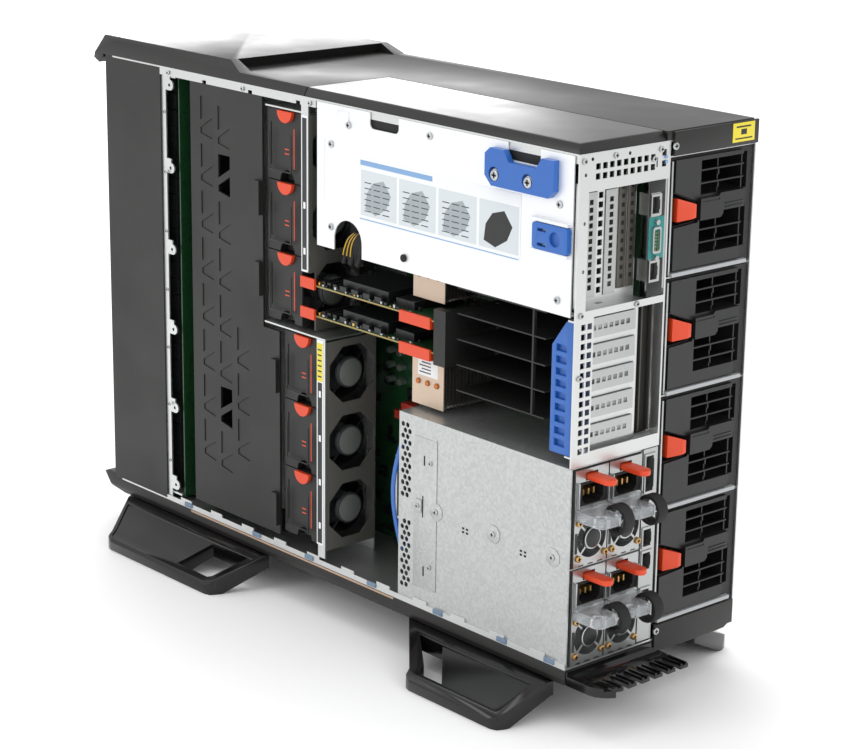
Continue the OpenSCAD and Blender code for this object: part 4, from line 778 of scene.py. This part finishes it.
for number in range(1, 7):
    rotor_low, rotor_high = corner_mm(f"fan_rotor_{number}")
    fan_low, fan_high = corner_mm(f"fan_{number}")
    mid_y, mid_z = (rotor_low.y + rotor_high.y) / 2, (rotor_low.z + rotor_high.z) / 2
    x = fan_high.x + 14.5
    hub = disc(f"exhaust_hub_{number}", at(x - 6, mid_y, mid_z), (1, 0, 0), 14.5 * MM, 5 * MM, fan_plastic, "chassis", 0.8)
    print_disc = disc(f"exhaust_print_{number}", at(x - 3.4, mid_y, mid_z), (1, 0, 0), 12.8 * MM, 0.4 * MM,
                      hub_label, "chassis", 0.1)
    arms = [hub, print_disc]
    for side in (0, 1, 2, 3):
        start_clean()
        angle = math.radians(45 + 90 * side)
        centre = at(x - 7, mid_y + 18.5 * math.cos(angle), mid_z + 18.5 * math.sin(angle))
        bpy.ops.mesh.primitive_cube_add(size=1, location=centre, rotation=(angle, 0, 0))
        bpy.context.object.scale = at(1.6, 12, 1.6)
        bevel_now(0.4)
        arms.append(settle(bpy.context.object, f"exhaust_arm_{number}_{side}", chip_black, "chassis"))
    join_all(arms, f"exhaust_guard_{number}")
print("fans dressed")

# %% [markdown]
# ** Boards.** Between the cage and the cards the system board shows: capacitors, memory
# sockets, ribbon sockets and a red power connector. The controller cards carry a row of small parts each.
# %% Boards
board_low, board_high = corner_mm("circuit_boards")
random.seed(7)
guide_low, guide_high = corner_mm("card_guide")
BOARD_FACE = guide_high.y - 1.5
caps = [(x, BOARD_FACE - 5, z) for x in (-13, 2) for z in (212, 226, 240, 254)]
cans = disc("board_capacitors", at(*caps[0]), (0, -1, 0), 3.4 * MM, 8 * MM, steel_screw, "chassis", 0.6, sides=20)
spread(cans, [at(*c) for c in caps])
blocks("system_board_edge", [((-62, BOARD_FACE - 1.2, 54), (100, BOARD_FACE - 0.2, 300))],
       board_lacquer, "chassis", 0.2)
chips = []
for _ in range(60):
    x, z = random.uniform(-58, 92), random.uniform(60, 290)
    wide, tall = random.uniform(4, 12), random.uniform(3, 9)
    chips.append(((x, BOARD_FACE - 1.2 - random.uniform(1, 4), z), (min(x + wide, 99), BOARD_FACE - 1.1, z + tall)))
blocks("system_board_chips", chips, chip_black, "chassis", 0.3)
blocks("board_connectors", [((0, BOARD_FACE - 12, 178), (15, BOARD_FACE, 186)), ((12, BOARD_FACE - 14, 188), (28, BOARD_FACE, 196)),
                            ((50, BOARD_FACE - 16, 192), (57, BOARD_FACE, 204))],
       connector_red, "chassis", 0.6)
blocks("board_sockets", [((30 + 8 * k, BOARD_FACE - 9, 190), (34 + 8 * k, BOARD_FACE, 262)) for k in range(2)],
       inner_plastic, "chassis", 0.5)
for number in (1, 2):
    low, high = corner_mm(f"raid_card_{number}")
    top = high.z - 10.4
    body = f"raid_card_{number}"
    parts = []
    for row, depth in enumerate((3.6, 14, 66, 74)):
        for k in range(26):
            x = low.x + 16 + k * 5.4 + random.uniform(0, 1.5)
            if x > high.x - 46 and row == 0 and k % 2:
                continue
            tall = 0.8 + 2.4 * random.random()
            parts.append(((x, NEAR + depth, top + 0.2), (x + 1.6 + 2 * random.random(), NEAR + depth + 2 + random.random(),
                                                          top + 0.2 + tall)))
    blocks(f"card_parts_{number}", parts[::3], chip_black, body, 0.15)
    blocks(f"card_contacts_{number}", parts[1::9], contact_gold, body, 0.15)
    blocks(f"card_cans_{number}", parts[2::3], steel_screw, body, 0.15)
    blocks(f"card_edge_{number}", [((low.x + 18, NEAR + 2.8, top - 1.5), (high.x, NEAR + 3.05, top - 0.1))],
           finish_for(f"board_edge_tan_{number}", "9c8a52", 0.5), body, 0.05)
sink_low, sink_high = corner_mm("heat_sinks")
copper = finish_for("copper_pipe_end", "b8703f", 0.3, 0.9)
PIPE_X, PLATE_Y = guide_low.x - 26.5, sink_low.y
pipes = [(PIPE_X + 12 * k, PLATE_Y - 0.8, z) for k in (-1, 0, 1) for z in (sink_low.z + 22, sink_high.z - 28)]
ends = disc("heat_pipe_ends", at(*pipes[0]), (0, -1, 0), 2.6 * MM, 1.8 * MM, copper, "chassis", 0.8, sides=20)
spread(ends, [at(*p) for p in pipes])
blocks("sink_label", [((PIPE_X - 13, PLATE_Y - 0.2, sink_low.z + 28), (PIPE_X + 13, PLATE_Y + 0.1, sink_low.z + 43))],
       paper, "chassis", 0.05)
blocks("sink_label_marks", [((PIPE_X - 11 + 3 * (k % 2), PLATE_Y - 0.28, sink_low.z + 30.5 + 3 * k),
                             (PIPE_X + 4, PLATE_Y - 0.15, sink_low.z + 31.6 + 3 * k)) for k in range(4)], ink, "chassis", 0)
print("boards dressed")

# %% [markdown]
# **Cables.** A black loom comes out of the arch under the card cover, with a few yellow wires in it. These
# wires are fixed harness, tied to the chassis, so they are plain swept tubes.
# %% Cables
ARCH_X, ARCH_Z = CX + 43, 362
for number in range(7):
    lift = 3.2 * number
    wire(f"loom_{number}", [(ARCH_X - 14 + lift, NEAR + 7 + (number % 3) * 4, ARCH_Z - 22),
                            (ARCH_X - 10 + lift, NEAR + 8, ARCH_Z - 10), (ARCH_X - 6 + lift, NEAR + 5, ARCH_Z + 2),
                            (ARCH_X + 6 + lift, NEAR + 12, ARCH_Z + 10), (ARCH_X + 16, NEAR + 26, ARCH_Z + 14)],
         2.3, rubber, "chassis")
yellow_wire = finish_for("wire_yellow_pvc", "c9a227", 0.4)
for number in range(3):
    wire(f"loom_yellow_{number}", [(ARCH_X - 12 + 5 * number, NEAR + 4.5, ARCH_Z - 14),
                                   (ARCH_X - 8 + 4 * number, NEAR + 3.2, ARCH_Z - 3),
                                   (ARCH_X + 3 * number, NEAR + 6, ARCH_Z + 8), (ARCH_X + 12, NEAR + 20, ARCH_Z + 13)],
         0.6, yellow_wire, "chassis")
print("cables ready")

# %% [markdown]
# **Power supplies and blowers.** A hub disc sits on each supply's guard and a bent silver bracket beside the
# inlet. Each blower has short pins under its middle and a bright edge where the steel wall ends.
# %% Rear modules
supply_low, supply_high = corner_mm("psu_1")
hub_ring = disc("supply_hub_1", at(REAR + 1.9, supply_low.y + (supply_high.y - supply_low.y) / 2 + 1.3, supply_low.z + 23),
                (1, 0, 0), 8.2 * MM, 0.9 * MM, chip_black, "psu_1", 0.3, sides=40)
ring_edge = disc("supply_ring_1", at(REAR + 1.55, supply_low.y + (supply_high.y - supply_low.y) / 2 + 1.3, supply_low.z + 23),
                 (1, 0, 0), 9.4 * MM, 0.7 * MM, steel_screw, "psu_1", 0.25, sides=40)
bracket = blocks("supply_bracket_1", [((REAR + 0.2, supply_low.y + 1.4, supply_low.z + 52), (REAR + 3.4, supply_low.y + 2.4, supply_low.z + 74)),
                                      ((REAR + 0.2, supply_high.y - 2.4, supply_low.z + 52), (REAR + 3.4, supply_high.y - 1.4, supply_low.z + 74))],
                 steel_screw, "psu_1", 0.3)
mark = blocks("supply_marks_1", [((REAR + 0.3, supply_low.y + 1.2 + 1.6 * k, supply_low.z + 12), (REAR + 0.42, supply_low.y + 2 + 1.6 * k, supply_low.z + 30))
                                 for k in range(2)], ink, "psu_1", 0)
start_clean()
bpy.ops.mesh.primitive_cylinder_add(vertices=40, radius=11.2 * MM, depth=10.8 * MM, end_fill_type="NOTHING",
                                    location=at(REAR + 22, supply_low.y + 29.5, supply_low.z + 43),
                                    rotation=(math.radians(90), 0, 0))
wall = bpy.context.object.modifiers.new("wall", "SOLIDIFY")
wall.thickness = 3.6 * MM
wall.offset = 0
bpy.ops.object.modifier_apply(modifier=wall.name)
bevel_now(0.9, 3)
strap = settle(bpy.context.object, "supply_strap_1", rubber, "psu_1")
guard_y = supply_low.y + (supply_high.y - supply_low.y) / 2 + 1.3
guard_screws = screws("supply_screws_1", [(REAR + 0.2, guard_y + a * 15.4, supply_low.z + 23 + b * 15.4)
                                          for a in (-1, 1) for b in (-1, 1)], (1, 0, 0), 2.9, "psu_1", gold_screw, 2.0)
for number in range(2, 5):
    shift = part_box(f"psu_{number}")[0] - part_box("psu_1")[0]
    for piece in (hub_ring, ring_edge, bracket, mark, strap, guard_screws):
        twin_of(piece, piece.name[:-1] + str(number), shift, f"psu_{number}")
blower_low, blower_high = corner_mm("blower_1")
pins = blocks("blower_pins_1", [((REAR - 1, blower_low.y + 56, z - 5), (REAR + 0.6, blower_low.y + 57.6, z))
                                for z in (blower_low.z + 85, blower_low.z + 74, blower_low.z + 35, blower_low.z + 24)],
              bezel_plastic, "blower_1", 0.3)
edge = blocks("blower_edge_1", [((REAR - 0.5, blower_low.y + 0.4, blower_low.z + 2), (REAR + 0.5, blower_low.y + 2.2, blower_high.z - 2))],
              steel_screw, "blower_1", 0.2)
lip = blocks("blower_grip_1", [((REAR + 4.9, blower_low.y + 62, blower_low.z + 52), (REAR + 5.8, blower_low.y + 84, blower_low.z + 53)),
                               ((REAR + 4.9, blower_low.y + 62, blower_low.z + 55), (REAR + 5.8, blower_low.y + 84, blower_low.z + 56))],
             bezel_plastic, "blower_1", 0.3)
for number in range(2, 5):
    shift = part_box(f"blower_{number}")[0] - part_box("blower_1")[0]
    for piece in (pins, edge, lip):
        twin_of(piece, piece.name[:-1] + str(number), shift, f"blower_{number}")
print("rear modules dressed")

# %% [markdown]
# **Rear panel.** Screws along its folds, black inserts and gilt contacts in the network sockets, a teal serial
# socket, small indicator windows and a plain yellow label over the corner of the top cover.
# %% Rear panel and edges
io_low, io_high = corner_mm("rear_io")
panel_low, panel_high = corner_mm("rear_panel")
MID_Y = io_high.y
screws("panel_screws", [(REAR, NEAR + 5, 477), (REAR, NEAR + 40, 478), (REAR, NEAR + 92, 477), (REAR, NEAR + 6, 352),
                        (REAR, NEAR + 6, 300), (REAR, NEAR + 70, 352), (REAR, NEAR + 84, 470)], (1, 0, 0), 2.6, "chassis")
screws("corner_screws", [(REAR + 1, MID_Y + 5, 478), (REAR + 1, MID_Y + 5, 57)], (1, 0, 0), 3.4, "chassis")
IO_LOW, IO_HIGH = -10.4, 7.4
blocks("io_bezel", [((REAR + 0.02, IO_LOW, 442), (REAR + 0.5, IO_HIGH, 452)), ((REAR + 0.02, IO_LOW, 356), (REAR + 0.5, IO_HIGH, 367.4)),
                    ((REAR + 0.02, 3.2, 422), (REAR + 0.5, IO_HIGH, 442)), ((REAR + 0.02, 3.2, 367.4), (REAR + 0.5, IO_HIGH, 387)),
                    ((REAR + 0.02, IO_LOW, 422), (REAR + 0.5, -9.2, 442)), ((REAR + 0.02, IO_LOW, 367.4), (REAR + 0.5, -9.2, 387))],
       chip_black, "chassis", 0.1)
blocks("serial_plate", [((REAR + 0.02, IO_LOW, 387), (REAR + 0.6, IO_HIGH, 422))], teal_plastic, "chassis", 0.2)
blocks("socket_inserts", [((REAR - 12, -7.6, z + 2.2), (REAR - 3, 0, z + 15.8)) for z in (423, 368)], chip_black, "chassis", 0.3)
blocks("socket_contacts", [((REAR - 3, -7.2, z + 4 + 1.4 * k), (REAR - 2.6, -4.2, z + 4.6 + 1.4 * k))
                           for z in (423, 368) for k in range(8)], contact_gold, "chassis", 0)
blocks("serial_contacts", [((REAR - 0.8, -5.2 + 3 * j, 395 + 2.8 * k), (REAR + 3.4, -4.4 + 3 * j, 395.8 + 2.8 * k))
                           for j in range(2) for k in range(6)], contact_gold, "chassis", 0.1)
# the inner slot covers and wall ribs are nickel painted dark grey: painted shade inside the deep rear opening
nickel_in_painted_shade = finish_for("shaded_nickel_cover", "5d5a54", 0.45, 0.7)
blocks("inner_slot_covers", [((REAR - 14, y, 364), (REAR - 13, y + 9, 456)) for y in (-32, -21.5)], nickel_in_painted_shade, "chassis", 0.3)
# the square holes are flush black marks: painted shade, not openings
blocks("inner_cover_holes", [((REAR - 13.1, y + 3, 372 + 7.4 * k), (REAR - 12.9, y + 6.4, 375.6 + 7.4 * k))
                             for y in (-32, -21.5) for k in range(11)], painted_shade_black, "chassis", 0)
blocks("inner_wall", [((REAR - 13, -14, 236), (REAR - 12, 9, 353))], inner_plastic, "chassis", 0.3)
blocks("inner_wall_rib", [((REAR - 12, -5, 238), (REAR - 9, -3.6, 350)), ((REAR - 12, 6, 238), (REAR - 8, 7.2, 350))],
       nickel_in_painted_shade, "chassis", 0.3)
blocks("indicator_windows", [((REAR + 0.2, MID_Y - 6, 465 + 4 * k), (REAR + 1.2, MID_Y - 3, 467.4 + 4 * k)) for k in range(2)],
       ink_blue, "chassis", 0.3)
cover_box = corner_mm("top_cover_front")
LABEL_X = cover_box[1].x
blocks("corner_label", [((LABEL_X - 0.1, 84, 473), (LABEL_X + 0.3, 111, 489))], ink_yellow, "chassis", 0.1)
blocks("corner_label_marks", [((LABEL_X + 0.28, 88, 485), (LABEL_X + 0.36, 106, 486.4)),
                              ((LABEL_X + 0.28, 94, 479), (LABEL_X + 0.36, 101, 483.6)),
                              ((LABEL_X + 0.28, 87, 475.2), (LABEL_X + 0.36, 108, 476.4))], ink, "chassis", 0)
blocks("corner_label_top", [((LABEL_X - 12, 84, cover_box[1].z - 11.9), (LABEL_X - 1, 111, cover_box[1].z - 11.5))],
       ink_yellow, "chassis", 0.1)
floor_low, floor_high = corner_mm("chassis_floor")
blocks("floor_tabs", [((x, NEAR - 1.2, 50), (x + 12, NEAR + 0.6, 54.5)) for x in (-220, -110, -30, 60, 150, 232, 290)],
       finish_for("tab_blue_grey", "6d8299", 0.45), "chassis", 0.5)
blocks("floor_gasket", [((-210, NEAR - 0.6, 46.6), (96, NEAR + 0.4, 48.4))], finish_for("gasket_tan", "b59a84", 0.8), "chassis", 0.3)
screws("roof_screws", [(x, NEAR - 0.2, 478) for x in (-236, -120, -22)], (0, -1, 0), 2.2, "chassis")
screws("ear_screws", [(-243, NEAR - 0.2, z) for z in (92, 150, 208, 266, 324, 382, 440)], (0, -1, 0), 1.8, "chassis")

# %% [markdown]
# ## Finish
# %% Finish
import json
